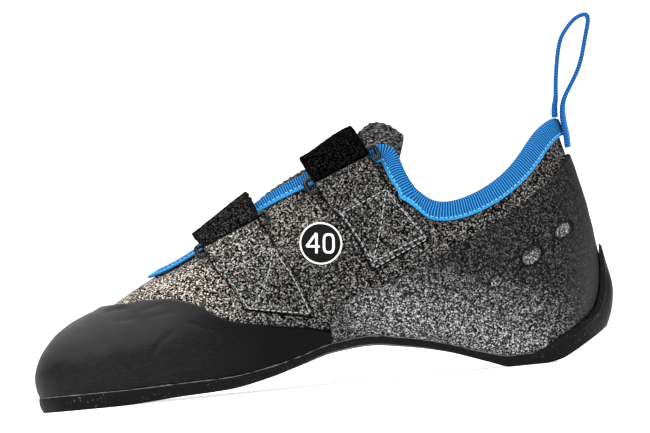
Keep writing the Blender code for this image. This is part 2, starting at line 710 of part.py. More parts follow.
def arc(center, forward, normal, radius, first, last, steps):
    """Points round a bar. An angle of 0 lies along forward and 90 degrees along the normal."""
    angles = np.radians(np.linspace(first, last, steps))[:, None, None]
    return center[None] + radius * (np.cos(angles) * forward[None] + np.sin(angles) * normal[None])


def strap_and_ring(spec):
    """Centre sheet of a strap with its fold round the ring, and the ring's two bar lines."""
    share = np.linspace(0, 1, STRAP_COLUMNS)
    along = np.array([spec.front_along, spec.rear_along])
    up = np.array([spec.front_up, spec.rear_up])
    t_ends, v_ends = locate(along, up)
    _, normals, _ = skin_frame(t_ends, v_ends)
    normal = unit(normals.sum(axis=0))

    def bars(c):
        center = line[0] + (line[1] - line[0]) * c[:, None] + normal * spec.proud
        return center + rise * RING_ABOVE, center - rise * RING_BELOW

    line = skin(t_ends, v_ends)
    rise = unit(np.cross(normal, line[1] - line[0]))
    rise = rise if rise[2] > 0 else -rise
    upper_bar, lower_bar = bars(share)
    fold = RING_WIRE + GAP + STRAP_THICKNESS / 2
    flat = np.ones((STRAP_COLUMNS, 1))
    turn = arc(upper_bar, -rise * flat, normal * flat, fold, -90, 90, 7)

    fine = np.linspace(1.0, HEEL_T / 2 + 1.5, 300)
    edge_x = skin(fine, 1.0)[:, 0]
    t_top = np.interp(x_at(along) - STRAP_LEAN, edge_x, fine)
    low, high = [], []
    for row in STRAP_BASE:
        down = row.down * np.array([-INSTEP_UP[0] * INSTEP_HEIGHT / LAST_LENGTH, -INSTEP_UP[2]])
        ends = [along + down[0], up + down[1]]
        x = ends[0][0] + (ends[0][1] - ends[0][0]) * share
        z = ends[1][0] + (ends[1][1] - ends[1][0]) * share
        point, out, _ = skin_frame(*locate(x, z, -1))
        add_layers(low, high, point, out, row)
    t_base, v_base = locate(x, z, -1)
    t_fold, v_fold = (ends[0] + (ends[1] - ends[0]) * share for ends in (t_ends, v_ends))
    for row in [row for row in STRAP_PATH if spec.last_q < row.q < spec.first_q]:
        t = t_top[0] + (t_top[1] - t_top[0]) * share
        t = t + (t_fold - t) * np.maximum(1 - row.q, 0) / (1 - v_fold)
        t = t + (-t_base - t) * np.maximum(row.q - 2, 0) / (1 - v_base)
        point, out, _ = over_frame(t, np.full(t.shape, row.q))
        add_layers(low, high, point, out, row)
    sheet = np.concatenate([np.array(low), turn, np.array(high)[::-1]])
    side = np.array([-RING_BESIDE / spec.width, 1 + RING_BESIDE / spec.width])
    over_bar, under_bar = bars(np.linspace(side[0], side[1], 7))
    return sheet, over_bar, under_bar, lower_bar, normal


def add_layers(low, high, point, out, row):
    lower = point + out * (row.rest + STRAP_THICKNESS / 2)
    low.append(lower)
    if row.apart > 0:
        high.append(lower + out * (STRAP_THICKNESS + row.apart))


def ring_solid(upper_bar, lower_bar):
    """Wire bent to a rectangle with rounded corners."""
    def short(a, b):
        return a + (b - a) * 0.22

    path = np.concatenate([
        upper_bar[:1] + (upper_bar[1:2] - upper_bar[:1]) * 0.25, upper_bar[1:-1],
        upper_bar[-1:] + (upper_bar[-2:-1] - upper_bar[-1:]) * 0.25,
        short(upper_bar[-1:], lower_bar[-1:]), short(lower_bar[-1:], upper_bar[-1:]),
        lower_bar[-1:] + (lower_bar[-2:-1] - lower_bar[-1:]) * 0.25, lower_bar[1:-1][::-1],
        lower_bar[:1] + (lower_bar[1:2] - lower_bar[:1]) * 0.25,
        short(lower_bar[:1], upper_bar[:1]), short(upper_bar[:1], lower_bar[:1]),
    ])
    tangent = unit(np.roll(path, -1, 0) - np.roll(path, 1, 0))
    plane = unit(np.cross(upper_bar[-1] - upper_bar[0], upper_bar[3] - lower_bar[3]))
    inside = unit(np.cross(tangent, plane))
    angles = np.linspace(0, 2 * math.pi, 7)[None, :, None]
    square = unit(np.cross(inside, tangent))
    tube = path[:, None] + RING_WIRE * (np.cos(angles) * inside[:, None] + np.sin(angles) * square[:, None])
    return tube.reshape(-1, 3), grid_faces(len(path), 7, 0, True, False)


def tab_sheet(patch, bar, normal):
    """Centre sheet of a ring tab: a hidden return, the fold round the ring and the patch down the side."""
    share = np.linspace(0, 1, STRAP_COLUMNS)
    rows = []
    for row in patch:
        x = row.front_along + (row.rear_along - row.front_along) * share
        z = row.front_up + (row.rear_up - row.front_up) * share
        t, v = locate(x, z)
        rows.append(skin_at(t, v, row.rest + TAB_THICKNESS / 2))
    rows = np.array(rows)
    across = unit(bar[-1] - bar[0])
    down = unit(np.cross(normal, across)) * np.ones((STRAP_COLUMNS, 1))
    down = down if down[0, 2] < 0 else -down
    normal = normal * np.ones((STRAP_COLUMNS, 1))
    fold = RING_WIRE + 2 * GAP + TAB_THICKNESS / 2
    turn = arc(bar, -down, normal, fold, -90, 90, 7)
    hidden = np.array([
        turn[0] + down * TAB_RETURN - normal * TAB_SINK,
        turn[0] + (down * TAB_RETURN - normal * TAB_SINK) / 2,
    ])
    return np.concatenate([hidden, turn, rows])


def pull_loop_solid():
    """Webbing that lies on the round heel below and straightens out above the collar."""
    up = np.array(column(LOOP, "up"))
    share = np.linspace(-0.5, 0.5, 4)[None, :]
    hug = np.array(column(LOOP, "hug"))[:, None]
    x = x_at(column(LOOP, "along"))[:, None] - LOOP_HUG * hug * (2 * share) ** 2
    y = LOOP_WIDTH * share + 0 * x
    return thick_sheet(np.stack([x, y, HEEL_HEIGHT * up[:, None] + 0 * x], -1), LOOP_THICKNESS)


def binding_solid():
    """Folded tape over the top edge, as a closed tube of a hooked section."""
    ts = stations(0, RIB_COUNT, CORNER_RIBS)[:-1]
    low_t, low_v, down = below_edge(ts, BINDING_HEIGHT)
    edge, normal, _ = skin_frame(ts, np.ones(len(ts)))
    rise = -down
    near, far, crown = GAP + BINDING_EASE, WALL + GAP + BINDING_EASE, GAP + BINDING_EASE / 2
    section = [
        skin_at(low_t, low_v, near + BINDING_THICKNESS),
        edge + normal * (near + BINDING_THICKNESS) + rise * crown,
        edge - normal * WALL / 2 + rise * (crown + 1.3 * BINDING_THICKNESS),
        edge - normal * (far + BINDING_THICKNESS) + rise * crown,
        skin_at(low_t, low_v, -far - BINDING_THICKNESS),
        skin_at(low_t, low_v, -far),
        edge - normal * far + rise * crown,
        edge + normal * near + rise * crown,
        skin_at(low_t, low_v, near),
        skin_at(low_t, low_v, near + BINDING_THICKNESS),
    ]
    tube = np.array(section).transpose(1, 0, 2)
    return tube.reshape(-1, 3), grid_faces(len(ts), len(section), 0, True, False)


def build():
    for item in list(bpy.data.objects):
        bpy.data.objects.remove(item, do_unlink=True)
    make_piece("outsole", (0.012, 0.012, 0.013), 0.60, *outsole_solid())
    make_piece("upper", (0.150, 0.140, 0.130), 0.90, *upper_solid())
    make_piece("insole", (0.060, 0.060, 0.062), 0.85, *insole_solid())
    make_piece("tongue", (0.110, 0.108, 0.105), 0.90,
               *thick_sheet(tongue_grid(), TONGUE_THICKNESS, TONGUE_SIDE))

    joint, ease = JOINT_RIB, JOINT_EASE
    toe_ts = stations(-joint + ease, joint - ease)
    toe_high = line_v(toe_ts, TOE_RAND_EDGE)
    make_piece("toe_rand", (0.030, 0.030, 0.031), 0.55,
               *band(toe_ts, TOE_RAND_THICKNESS, toe_high, TOE_RAND_ROWS))
    ends = joint + np.array([0.07, 0.14])
    heel_ts = stations(joint + ease, RIB_COUNT - joint - ease)
    heel_ts = np.sort(np.concatenate([heel_ts, ends, RIB_COUNT - ends]))
    heel_high = line_v(heel_ts, HEEL_RAND_EDGE)
    make_piece("heel_rand", (0.055, 0.054, 0.053), 0.60,
               *band(heel_ts, HEEL_RAND_THICKNESS, heel_high, HEEL_RAND_ROWS))
    make_piece("collar_binding", (0.030, 0.230, 0.650), 0.70, *binding_solid())
    make_piece("pull_loop", (0.030, 0.230, 0.650), 0.70, *pull_loop_solid())
    for place, spec, patch in (("front", FRONT_STRAP, FRONT_TAB), ("rear", REAR_STRAP, REAR_TAB)):
        sheet, upper_bar, lower_bar, fold_line, out = strap_and_ring(spec)
        make_piece("strap_" + place, (0.010, 0.010, 0.010), 0.95, *thick_sheet(sheet, STRAP_THICKNESS))
        make_piece("ring_" + place, (0.100, 0.100, 0.105), 0.30, *ring_solid(upper_bar, lower_bar), 1.0)
        tab = tab_sheet(patch, fold_line, out)
        make_piece("strap_tab_" + place, (0.120, 0.115, 0.110), 0.90, *thick_sheet(tab, TAB_THICKNESS))


build()
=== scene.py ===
"""Detailed look of the right-foot climbing shoe, in the frame of its CAD model.

Metres, +Z up. The toe points to -X and the medial (arch) side faces -Y.
"""

import math
import random
from collections import namedtuple

import bpy
import numpy as np
from mathutils import Matrix, Vector, noise


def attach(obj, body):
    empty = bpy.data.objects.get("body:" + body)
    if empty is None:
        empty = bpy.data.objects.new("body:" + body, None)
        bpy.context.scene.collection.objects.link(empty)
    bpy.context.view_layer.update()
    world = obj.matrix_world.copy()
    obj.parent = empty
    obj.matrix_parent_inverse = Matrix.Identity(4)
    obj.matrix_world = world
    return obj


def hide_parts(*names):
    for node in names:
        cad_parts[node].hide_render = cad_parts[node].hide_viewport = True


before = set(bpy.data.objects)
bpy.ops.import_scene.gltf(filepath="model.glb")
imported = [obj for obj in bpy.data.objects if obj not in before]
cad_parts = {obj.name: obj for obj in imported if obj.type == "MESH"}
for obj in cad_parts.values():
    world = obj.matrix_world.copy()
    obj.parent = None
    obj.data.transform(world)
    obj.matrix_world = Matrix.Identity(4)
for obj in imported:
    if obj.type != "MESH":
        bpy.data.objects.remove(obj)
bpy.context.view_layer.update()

# Driving sizes, the same as the CAD model's
LAST_LENGTH = 0.2434
BALL_WIDTH = 0.086
HEEL_WIDTH = 0.058
INSTEP_HEIGHT = 0.100
HEEL_HEIGHT = 0.1025
HEEL_REST_ALONG = 0.868
INSTEP_LEAN = 26
ARCH_LIFT = 0.0150
MEDIAL_LIFT = 0.0015
SOLE_THICKNESS = 0.0050
SOLE_LIP = 0.0004
SIDE_BEVEL = 0.0014
WRAP_THICKNESS = 0.0026
WRAP_EASE = 0.0004
INSOLE_THICKNESS = 0.0020
INSOLE_EASE = 0.0004
WALL = 0.0018
TOE_RAND_THICKNESS = 0.0020
HEEL_RAND_THICKNESS = 0.0016
BINDING_THICKNESS = 0.0010
BINDING_HEIGHT = 0.0060
BINDING_EASE = 0.0008
TONGUE_THICKNESS = 0.0022
GAP = 0.0003
V_BELLY = 0.25
TAPE_STEPS = 8
TAPE_SPAN = 0.45

# Ribs run from the sole's edge over the belly (widest line) to the collar and throat edge
RIB_COLUMNS = (
    "zone along belly_in belly_out belly_up tuck edge_along edge_in edge_out edge_up slope low_pull high_pull"
)
Rib = namedtuple("Rib", RIB_COLUMNS)
RIBS = (
    Rib("fore", 0.000, -0.140, -0.140, 0.130, 0.018, 0.230, -0.035, -0.035, 0.550, 27, 0.34, 0.46),
    Rib("fore", 0.016, -0.280, 0.005, 0.140, 0.021, 0.236, -0.085, 0.010, 0.555, 27, 0.33, 0.44),
    Rib("fore", 0.064, -0.395, 0.200, 0.150, 0.026, 0.264, -0.130, 0.045, 0.582, 28, 0.30, 0.38),
    Rib("fore", 0.166, -0.465, 0.407, 0.170, 0.035, 0.330, -0.170, 0.085, 0.668, 32, 0.27, 0.31),
    Rib("fore", 0.305, -0.490, 0.506, 0.195, 0.041, 0.419, -0.205, 0.130, 0.802, 38, 0.26, 0.27),
    Rib("fore", 0.452, -0.415, 0.465, 0.260, 0.070, 0.517, -0.230, 0.180, 0.909, 46, 0.27, 0.27),
    Rib("fore", 0.585, -0.347, 0.402, 0.338, 0.104, 0.634, -0.265, 0.245, 0.988, 70, 0.30, 0.28),
    Rib("rear", 0.655, -0.487, 0.557, 0.315, 0.147, 0.669, -0.400, 0.385, 0.858, 54, 0.30, 0.28),
    Rib("rear", 0.790, -0.478, 0.516, 0.275, 0.126, 0.731, -0.462, 0.455, 0.699, 82, 0.32, 0.30),
    Rib("rear", 0.925, -0.440, 0.440, 0.275, 0.135, 0.852, -0.405, 0.400, 0.785, 80, 0.32, 0.30),
    Rib("rear", 0.982, -0.215, 0.215, 0.305, 0.165, 0.921, -0.225, 0.225, 0.950, 78, 0.33, 0.30),
    Rib("rear", 1.000, 0.000, 0.000, 0.325, 0.185, 0.952, 0.000, 0.000, 1.000, 77, 0.34, 0.30),
)

# The sole's bottom: lift as a share of ARCH_LIFT, thickness as a share of SOLE_THICKNESS
Ground = namedtuple("Ground", "along lift thickness")
GROUND = (
    Ground(-0.02, 0.00, 1.28), Ground(0.13, 0.00, 1.28), Ground(0.24, 0.09, 1.10),
    Ground(0.33, 0.15, 1.00), Ground(0.40, 0.34, 0.86), Ground(0.46, 0.62, 0.66),
    Ground(0.52, 0.90, 0.60), Ground(0.585, 1.00, 0.62), Ground(0.65, 0.86, 0.62),
    Ground(0.72, 0.60, 0.60), Ground(0.79, 0.20, 0.74), Ground(0.832, 0.00, 0.92),
    Ground(0.89, 0.00, 0.98), Ground(0.92, 0.08, 1.00), Ground(0.95, 0.30, 1.00),
    Ground(0.98, 0.58, 1.00), Ground(1.02, 0.85, 1.00),
)

# Lines of the side view, seen from the medial side: along of LAST_LENGTH, up of INSTEP_HEIGHT
Point = namedtuple("Point", "along up")
TOE_RAND_EDGE = (
    Point(0.109, 0.411), Point(0.133, 0.418), Point(0.169, 0.422), Point(0.205, 0.431),
    Point(0.240, 0.431), Point(0.267, 0.416), Point(0.293, 0.392), Point(0.318, 0.351),
    Point(0.343, 0.319), Point(0.378, 0.298), Point(0.413, 0.283), Point(0.448, 0.267),
    Point(0.483, 0.255), Point(0.509, 0.240),
)
HEEL_RAND_EDGE = (
    Point(0.516, 0.246), Point(0.523, 0.284), Point(0.539, 0.328), Point(0.559, 0.362),
    Point(0.581, 0.383), Point(0.605, 0.399), Point(0.632, 0.414), Point(0.660, 0.442),
    Point(0.707, 0.487), Point(0.763, 0.551), Point(0.819, 0.616), Point(0.876, 0.689),
    Point(0.924, 0.769), Point(0.950, 0.830), Point(0.965, 0.886), Point(0.975, 0.930),
)

# Height of the sole's wrap, as a share of HEEL_HEIGHT, over the count of ribs from the heel's middle
WrapRow = namedtuple("WrapRow", "ribs height")
WRAP = (
    WrapRow(0.00, 0.480), WrapRow(0.25, 0.448), WrapRow(0.50, 0.355), WrapRow(0.75, 0.260),
    WrapRow(1.00, 0.200), WrapRow(1.50, 0.150), WrapRow(2.00, 0.102), WrapRow(2.50, 0.058),
)
# The wrap thins by this share, from this way up it and over this way
WRAP_THINNING, WRAP_THIN_FROM, WRAP_THIN_OVER = 0.74, 0.014, 0.032
SIDE_BULGE = 0.0007

# Place of the joint between toe and heel rand
JOINT_RIB = 5.45
JOINT_EASE = 0.006
JOINT_RIBS_FROM_HEEL = len(RIBS) - 1 - JOINT_RIB

# Tongue by rib: low and high are v where its side starts and leaves the wall, inset is its way in
# from the skin, crown its rise over the throat as a share of INSTEP_HEIGHT, lean the crown's tilt
# towards the toe in degrees and strap the straps' rise over the throat's edge
TongueRow = namedtuple("TongueRow", "rib low high inset crown lean strap")
TONGUE = (
    TongueRow(0.90, 0.74, 0.79, 0.0064, 0.000, 26, 0.000),
    TongueRow(1.30, 0.78, 0.83, 0.0064, 0.000, 26, 0.000),
    TongueRow(1.80, 0.81, 0.87, 0.0062, 0.010, 26, 0.010),
    TongueRow(2.50, 0.82, 0.90, 0.0066, 0.036, 26, 0.030),
    TongueRow(3.40, 0.82, 0.92, 0.0066, 0.068, 26, 0.034),
    TongueRow(4.30, 0.82, 0.94, 0.0054, 0.090, 26, 0.030),
    TongueRow(5.00, 0.81, 0.94, 0.0050, 0.098, 26, 0.048),
    TongueRow(5.70, 0.80, 0.94, 0.0050, 0.130, 20, 0.088),
    TongueRow(6.20, 0.82, 0.94, 0.0050, 0.182, 10, 0.100),
    TongueRow(7.00, 0.86, 0.97, 0.0050, 0.196, -20, 0.100),
)

QUILT_PITCH = 0.0030
QUILT_DEPTH = 0.00025
QUILT_MARGIN = 0.006

# Straps: the ring's line in the side view, the strap's width, the rows of STRAP_PATH it has and the
# ring's height over the skin
StrapSpec = namedtuple("StrapSpec", "front_along front_up rear_along rear_up width first_q last_q proud")
FRONT_STRAP = StrapSpec(0.317, 0.604, 0.420, 0.706, 0.027, 2.20, 0.84, 0.0050)
REAR_STRAP = StrapSpec(0.518, 0.849, 0.621, 0.951, 0.027, 2.03, 0.97, 0.0058)
STRAP_THICKNESS = 0.0013
STRAP_LEAN = 0.0020
PathRow = namedtuple("PathRow", "q rest apart")
STRAP_PATH = (
    PathRow(2.13, 0.0028, 0.0004), PathRow(2.05, 0.0032, 0.0005), PathRow(1.96, 0.0034, 0.0010),
    PathRow(1.85, 0.0024, 0.0013), PathRow(1.74, 0.0014, 0.0010), PathRow(1.62, 0.0012, 0.0006),
    PathRow(1.50, 0.0012, 0.0006), PathRow(1.38, 0.0012, 0.0007), PathRow(1.26, 0.0014, 0.0011),
    PathRow(1.14, 0.0024, 0.0020), PathRow(1.04, 0.0034, 0.0026), PathRow(0.95, 0.0030, 0.0029),
    PathRow(0.87, 0.0021, 0.0031),
)
BaseRow = namedtuple("BaseRow", "down rest apart")
STRAP_BASE = (
    BaseRow(0.26, 0.0004, 0.0), BaseRow(0.19, 0.0004, 0.0), BaseRow(0.12, 0.0008, 0.0004),
    BaseRow(0.06, 0.0027, 0.0004), BaseRow(0.01, 0.0032, 0.0004),
)
STRAP_RUN = 0.15
SELVEDGE_WIDTH = 0.0016
SELVEDGE_GROOVE = 0.0019
GROOVE_DEPTH = 0.00022
PILE_DEPTH = 0.00012
RING_WIRE = 0.0011
RING_BEND = 0.0016
RING_ABOVE = 0.0029
RING_BELOW = 0.0031
RING_BESIDE = 0.0034

# Ring tabs: rows from the fold down the side, front and rear edge in the side view
TabRow = namedtuple("TabRow", "front_along front_up rear_along rear_up rest")
FRONT_TAB = (
    TabRow(0.326, 0.549, 0.430, 0.650, 0.0044), TabRow(0.331, 0.524, 0.436, 0.622, 0.0022),
    TabRow(0.339, 0.498, 0.450, 0.564, 0.0003), TabRow(0.352, 0.455, 0.468, 0.480, 0.0003),
    TabRow(0.363, 0.405, 0.482, 0.390, 0.0003), TabRow(0.371, 0.354, 0.494, 0.292, 0.0003),
)
REAR_TAB = (
    TabRow(0.529, 0.790, 0.632, 0.892, 0.0052), TabRow(0.536, 0.762, 0.638, 0.866, 0.0026),
    TabRow(0.549, 0.730, 0.648, 0.822, 0.0003), TabRow(0.568, 0.655, 0.668, 0.740, 0.0003),
    TabRow(0.585, 0.570, 0.690, 0.655, 0.0004), TabRow(0.602, 0.465, 0.710, 0.583, 0.0005),
)
TAB_THICKNESS = 0.0012
TAB_RETURN = 0.0034
TAB_SINK = 0.0009
TAB_WIDTH = 0.028
TAB_RUN = 0.045
TAB_UNEVEN = 0.00008
SEAM_PRESS = 0.00022
SEAM_WIDTH = 0.0009

# Pull loop: centre line of its webbing from the collar's top over the bend to the heel's back
LoopRow = namedtuple("LoopRow", "along up hug")
LOOP = (
    LoopRow(0.9548, 1.0240, 0.55), LoopRow(0.9556, 1.0702, 0.40), LoopRow(0.9581, 1.1044, 0.20),
    LoopRow(0.9597, 1.1610, 0.00), LoopRow(0.9634, 1.2244, 0.00), LoopRow(0.9753, 1.3444, 0.00),
    LoopRow(0.9873, 1.3893, 0.00), LoopRow(1.0016, 1.4244, 0.00), LoopRow(1.0168, 1.4429, 0.00),
    LoopRow(1.0263, 1.4410, 0.00), LoopRow(1.0279, 1.4166, 0.00), LoopRow(1.0226, 1.3688, 0.00),
    LoopRow(1.0123, 1.2829, 0.00), LoopRow(1.0016, 1.2176, 0.00), LoopRow(0.9864, 1.1561, 0.00),
    LoopRow(0.9737, 1.1024, 0.15), LoopRow(0.9696, 1.0634, 0.35), LoopRow(0.9692, 1.0244, 0.50),
    LoopRow(0.9704, 0.9854, 0.55), LoopRow(0.9725, 0.9366, 0.55), LoopRow(0.9725, 0.8927, 0.55),
)
LOOP_WIDTH = 0.0140
LOOP_THICKNESS = 0.0017
LOOP_HUG = 0.0024
LOOP_RUN = 0.115
LOOP_EDGE = 0.0006
LOOP_WEAVE_PITCH = 0.0011
LOOP_WEAVE_DEPTH = 0.00007

# Creases seen from the medial side: line in the side view, depth inwards (negative is a ridge), width
Crease = namedtuple("Crease", "depth width line")
UPPER_CREASES = (
    Crease(0.00040, 0.0016, ((0.442, 0.653), (0.453, 0.593), (0.463, 0.514))),
    Crease(0.00030, 0.0018, ((0.500, 0.780), (0.520, 0.700), (0.545, 0.640))),
    Crease(0.00050, 0.0026, ((0.735, 0.640), (0.765, 0.600), (0.800, 0.585))),
    Crease(0.00035, 0.0022, ((0.690, 0.720), (0.715, 0.670), (0.750, 0.640))),
    Crease(0.00040, 0.0024, ((0.235, 0.520), (0.262, 0.500), (0.292, 0.470))),
    Crease(0.00030, 0.0020, ((0.300, 0.500), (0.318, 0.455), (0.330, 0.410))),
)
RAND_CREASES = (
    Crease(0.00045, 0.0007, ((0.123, 0.377), (0.148, 0.396), (0.173, 0.399))),
    Crease(-0.00040, 0.0009, ((0.123, 0.389), (0.148, 0.409), (0.173, 0.411))),
    Crease(0.00035, 0.0007, ((0.186, 0.380), (0.215, 0.398), (0.237, 0.410))),
    Crease(0.00030, 0.0008, ((0.199, 0.352), (0.228, 0.362), (0.256, 0.376))),
    Crease(0.00025, 0.0007, ((0.139, 0.345), (0.164, 0.352), (0.190, 0.358))),
    Crease(0.00022, 0.0012, ((0.192, 0.186), (0.223, 0.256), (0.253, 0.300))),
    Crease(0.00020, 0.0010, ((0.262, 0.330), (0.300, 0.292), (0.336, 0.270))),
)

# Swell of the toe rubber over the toe box: its middle in the side view, its rise and reach
TOE_SWELL = Point(0.041, 0.325)
TOE_SWELL_RISE = 0.0019
TOE_SWELL_REACH = 0.0140

# Step of the second rubber layer near the toe rand's top edge
LAYER_STEP = 0.00035
LAYER_END = 0.175
LAYER_EDGE = (
    Point(0.060, 0.372), Point(0.091, 0.392), Point(0.109, 0.382), Point(0.126, 0.382),
    Point(0.145, 0.399), Point(0.165, 0.420),
)
RAND_UNEVEN = 0.00012

# Windows sunk into the heel rand: middle in the side view, half length, half height, lean in degrees
Window = namedtuple("Window", "along up half_long half_high lean")
WINDOWS = (
    Window(0.942, 0.560, 0.0039, 0.0025, 42),
    Window(0.884, 0.465, 0.0043, 0.0030, 38),
    Window(0.818, 0.373, 0.0026, 0.0020, 30),
)
WINDOW_DEPTH = 0.0008
# Size of the ring of painted shadow round each window, as a factor of the window's size
WINDOW_SHADE_GROWTH = 1.36
HEEL_UNEVEN = 0.00008

# Round size mark printed on the medial side
MARK_ALONG = 0.517
MARK_UP = 0.610
MARK_RADIUS = 0.0092
MARK_RING = 0.0007
DIGIT_HALF_TALL = 0.0044
DIGIT_HALF_WIDE = 0.0026
DIGIT_STROKE = 0.00105
DIGIT_SQUARENESS = 0.62
ZERO_RIGHT = 0.0034
FOUR_LEFT, FOUR_STEM, FOUR_RIGHT, FOUR_BAR = -0.0062, -0.0019, -0.0005, -0.0014

# Camera: the photograph is taken from the medial side, level with the shoe and rolled
ROLL = math.atan(0.1)
VIEW_MIDDLE = Vector((-0.0825, 0.0, 0.0723))
VIEW_WIDTH = 0.2809
VIEW_DISTANCE = 5.0

# Floor: its reach to the front, to the back and to each side, its bend and the wall's height
FLOOR_FRONT, FLOOR_BACK, FLOOR_HALF, FLOOR_BEND, FLOOR_WALL = 6.5, 7.0, 8.0, 1.2, 4.0

RANDOM = random.Random(11)


def monotone(xs, ys, x):
    """Monotone cubic through the points (xs, ys), flat beyond its ends."""
    xs, ys = np.asarray(xs, float), np.asarray(ys, float)
    x = np.clip(np.asarray(x, float), xs[0], xs[-1])
    step, rise = np.diff(xs), np.diff(ys) / np.diff(xs)
    slope = np.zeros(len(xs))
    same = rise[:-1] * rise[1:] > 0
    a, b = rise[:-1][same], rise[1:][same]
    slope[1:-1][same] = 2 * a * b / (a + b)
    slope[0], slope[-1] = rise[0], rise[-1]
    i = np.clip(np.searchsorted(xs, x, side="right") - 1, 0, len(step) - 1)
    h, t = step[i], (x - xs[i]) / step[i]
    return (
        ys[i] * (1 + 2 * t) * (1 - t) ** 2
        + slope[i] * h * t * (1 - t) ** 2
        + ys[i + 1] * t * t * (3 - 2 * t)
        + slope[i + 1] * h * t * t * (t - 1)
    )


def x_at(along):
    return (np.asarray(along) - HEEL_REST_ALONG) * LAST_LENGTH


def along_at(x):
    return np.asarray(x) / LAST_LENGTH + HEEL_REST_ALONG


def column(rows, name):
    return [getattr(row, name) for row in rows]


def table(rows, key, name, place):
    """Value of the column called name where the column called key has the place."""
    return monotone(column(rows, key), column(rows, name), place)


def smooth(share):
    share = np.clip(share, 0.0, 1.0)
    return share * share * (3 - 2 * share)


def arch_share(x):
    lifts = [row.lift if row.along < 0.9 else 0.0 for row in GROUND]
    return monotone(column(GROUND, "along"), lifts, along_at(x))


def ground(x, y):
    """Underside of the sole."""
    lift = ARCH_LIFT * table(GROUND, "along", "lift", along_at(x))
    tilt = np.clip(-np.asarray(y) / (BALL_WIDTH / 2), -0.3, 1.0)
    return lift + MEDIAL_LIFT * arch_share(x) * tilt


def sole_top(x, y):
    return ground(x, y) + SOLE_THICKNESS * table(GROUND, "along", "thickness", along_at(x))


class Loop:
    """Closed cubic spline through the rows of a table, one unit of t from row to row."""

    def __init__(self, values):
        self.values = np.asarray(values, float)
        n = len(self.values)
        matrix = 4 * np.eye(n) + np.roll(np.eye(n), 1, 1) + np.roll(np.eye(n), -1, 1)
        around = np.roll(self.values, -1, 0) - np.roll(self.values, 1, 0)
        self.slopes = np.linalg.solve(matrix, 3 * around)

    def __call__(self, t):
        n = len(self.values)
        t = np.asarray(t, float) % n
        i = np.floor(t).astype(int) % n
        f = (t - np.floor(t))[..., None]
        j = (i + 1) % n
        a, b, da, db = self.values[i], self.values[j], self.slopes[i], self.slopes[j]
        return (
            a * (1 + 2 * f) * (1 - f) ** 2
            + da * f * (1 - f) ** 2
            + b * f * f * (3 - 2 * f)
            + db * f * f * (f - 1)
        )


def rib_metres(rib, belly, edge):
    width, height = (BALL_WIDTH, INSTEP_HEIGHT) if rib.zone == "fore" else (HEEL_WIDTH, HEEL_HEIGHT)
    return (
        x_at(rib.along), belly * width, rib.belly_up * height, rib.tuck * width,
        x_at(rib.edge_along), edge * width, rib.edge_up * height,
        math.radians(rib.slope), rib.low_pull, rib.high_pull,
    )


def rib_rows():
    medial = [rib_metres(rib, rib.belly_in, rib.edge_in) for rib in RIBS]
    lateral = [rib_metres(rib, rib.belly_out, rib.edge_out) for rib in RIBS[-2:0:-1]]
    return medial + lateral


RIB_LOOP = Loop(rib_rows())
RIB_COUNT = len(RIB_LOOP.values)
HEEL_T = len(RIBS) - 1
UP = np.array([0.0, 0.0, 1.0])


def leaned(degrees):
    """Direction in the side view, tilted from straight up towards the toe."""
    turn = np.radians(degrees)
    return np.stack([-np.sin(turn), 0 * turn, np.cos(turn)], -1)


INSTEP_UP = leaned(INSTEP_LEAN)


def unit(vectors):
    return vectors / np.maximum(np.linalg.norm(vectors, axis=-1, keepdims=True), 1e-12)


def bezier(a, b, c, d, w):
    w = w[..., None]
    return a * (1 - w) ** 3 + 3 * b * w * (1 - w) ** 2 + 3 * c * w * w * (1 - w) + d * w**3


def outward_at(t):
    """Level direction square to the belly line, away from the foot."""
    run = RIB_LOOP(t + 0.02)[..., :2] - RIB_LOOP(t - 0.02)[..., :2]
    return unit(np.stack([run[..., 1], -run[..., 0], np.zeros(np.shape(t))], -1))


def skin(t, v):
    """Outside of the upper. t runs round the shoe, v from 0 at the sole's edge to 1 at the top edge."""
    t, v = np.broadcast_arrays(np.asarray(t, float), np.asarray(v, float))
    row = RIB_LOOP(t)
    outward = outward_at(t)
    belly, edge = row[..., :3], row[..., 4:7]
    tuck, slope, low, high = (row[..., k, None] for k in (3, 7, 8, 9))
    foot = belly - outward * tuck
    foot[..., 2] = sole_top(foot[..., 0], foot[..., 1]) + GAP
    inward = unit((edge - belly) * np.array([1.0, 1.0, 0.0]))
    rise, drop = edge[..., 2:] - belly[..., 2:], belly[..., 2:] - foot[..., 2:]
    reach = np.linalg.norm(edge - belly, axis=-1, keepdims=True)
    lean = inward * np.cos(slope) + UP * np.sin(slope)
    turn_in = foot + outward * 0.52 * tuck + UP * 0.18 * drop
    lower = bezier(foot, turn_in, belly - UP * 0.45 * drop, belly, np.clip(v / V_BELLY, 0, 1))
    share = np.maximum((v - V_BELLY) / (1 - V_BELLY), 0.0)
    upper = bezier(belly, belly + UP * low * rise, edge - lean * high * reach, edge, share)
    return np.where((v < V_BELLY)[..., None], lower, upper)


def skin_frame(t, v):
    """Point of the skin with its outward normal and its direction towards the top edge."""
    t, v = np.broadcast_arrays(np.asarray(t, float), np.asarray(v, float))
    low, high = np.clip(v - 0.01, 0, 1), np.clip(v + 0.01, 0, 1)
    rise = unit(skin(t, high) - skin(t, low))
    normal = unit(np.cross(skin(t + 0.02, v) - skin(t - 0.02, v), rise))
    return skin(t, v), normal, rise


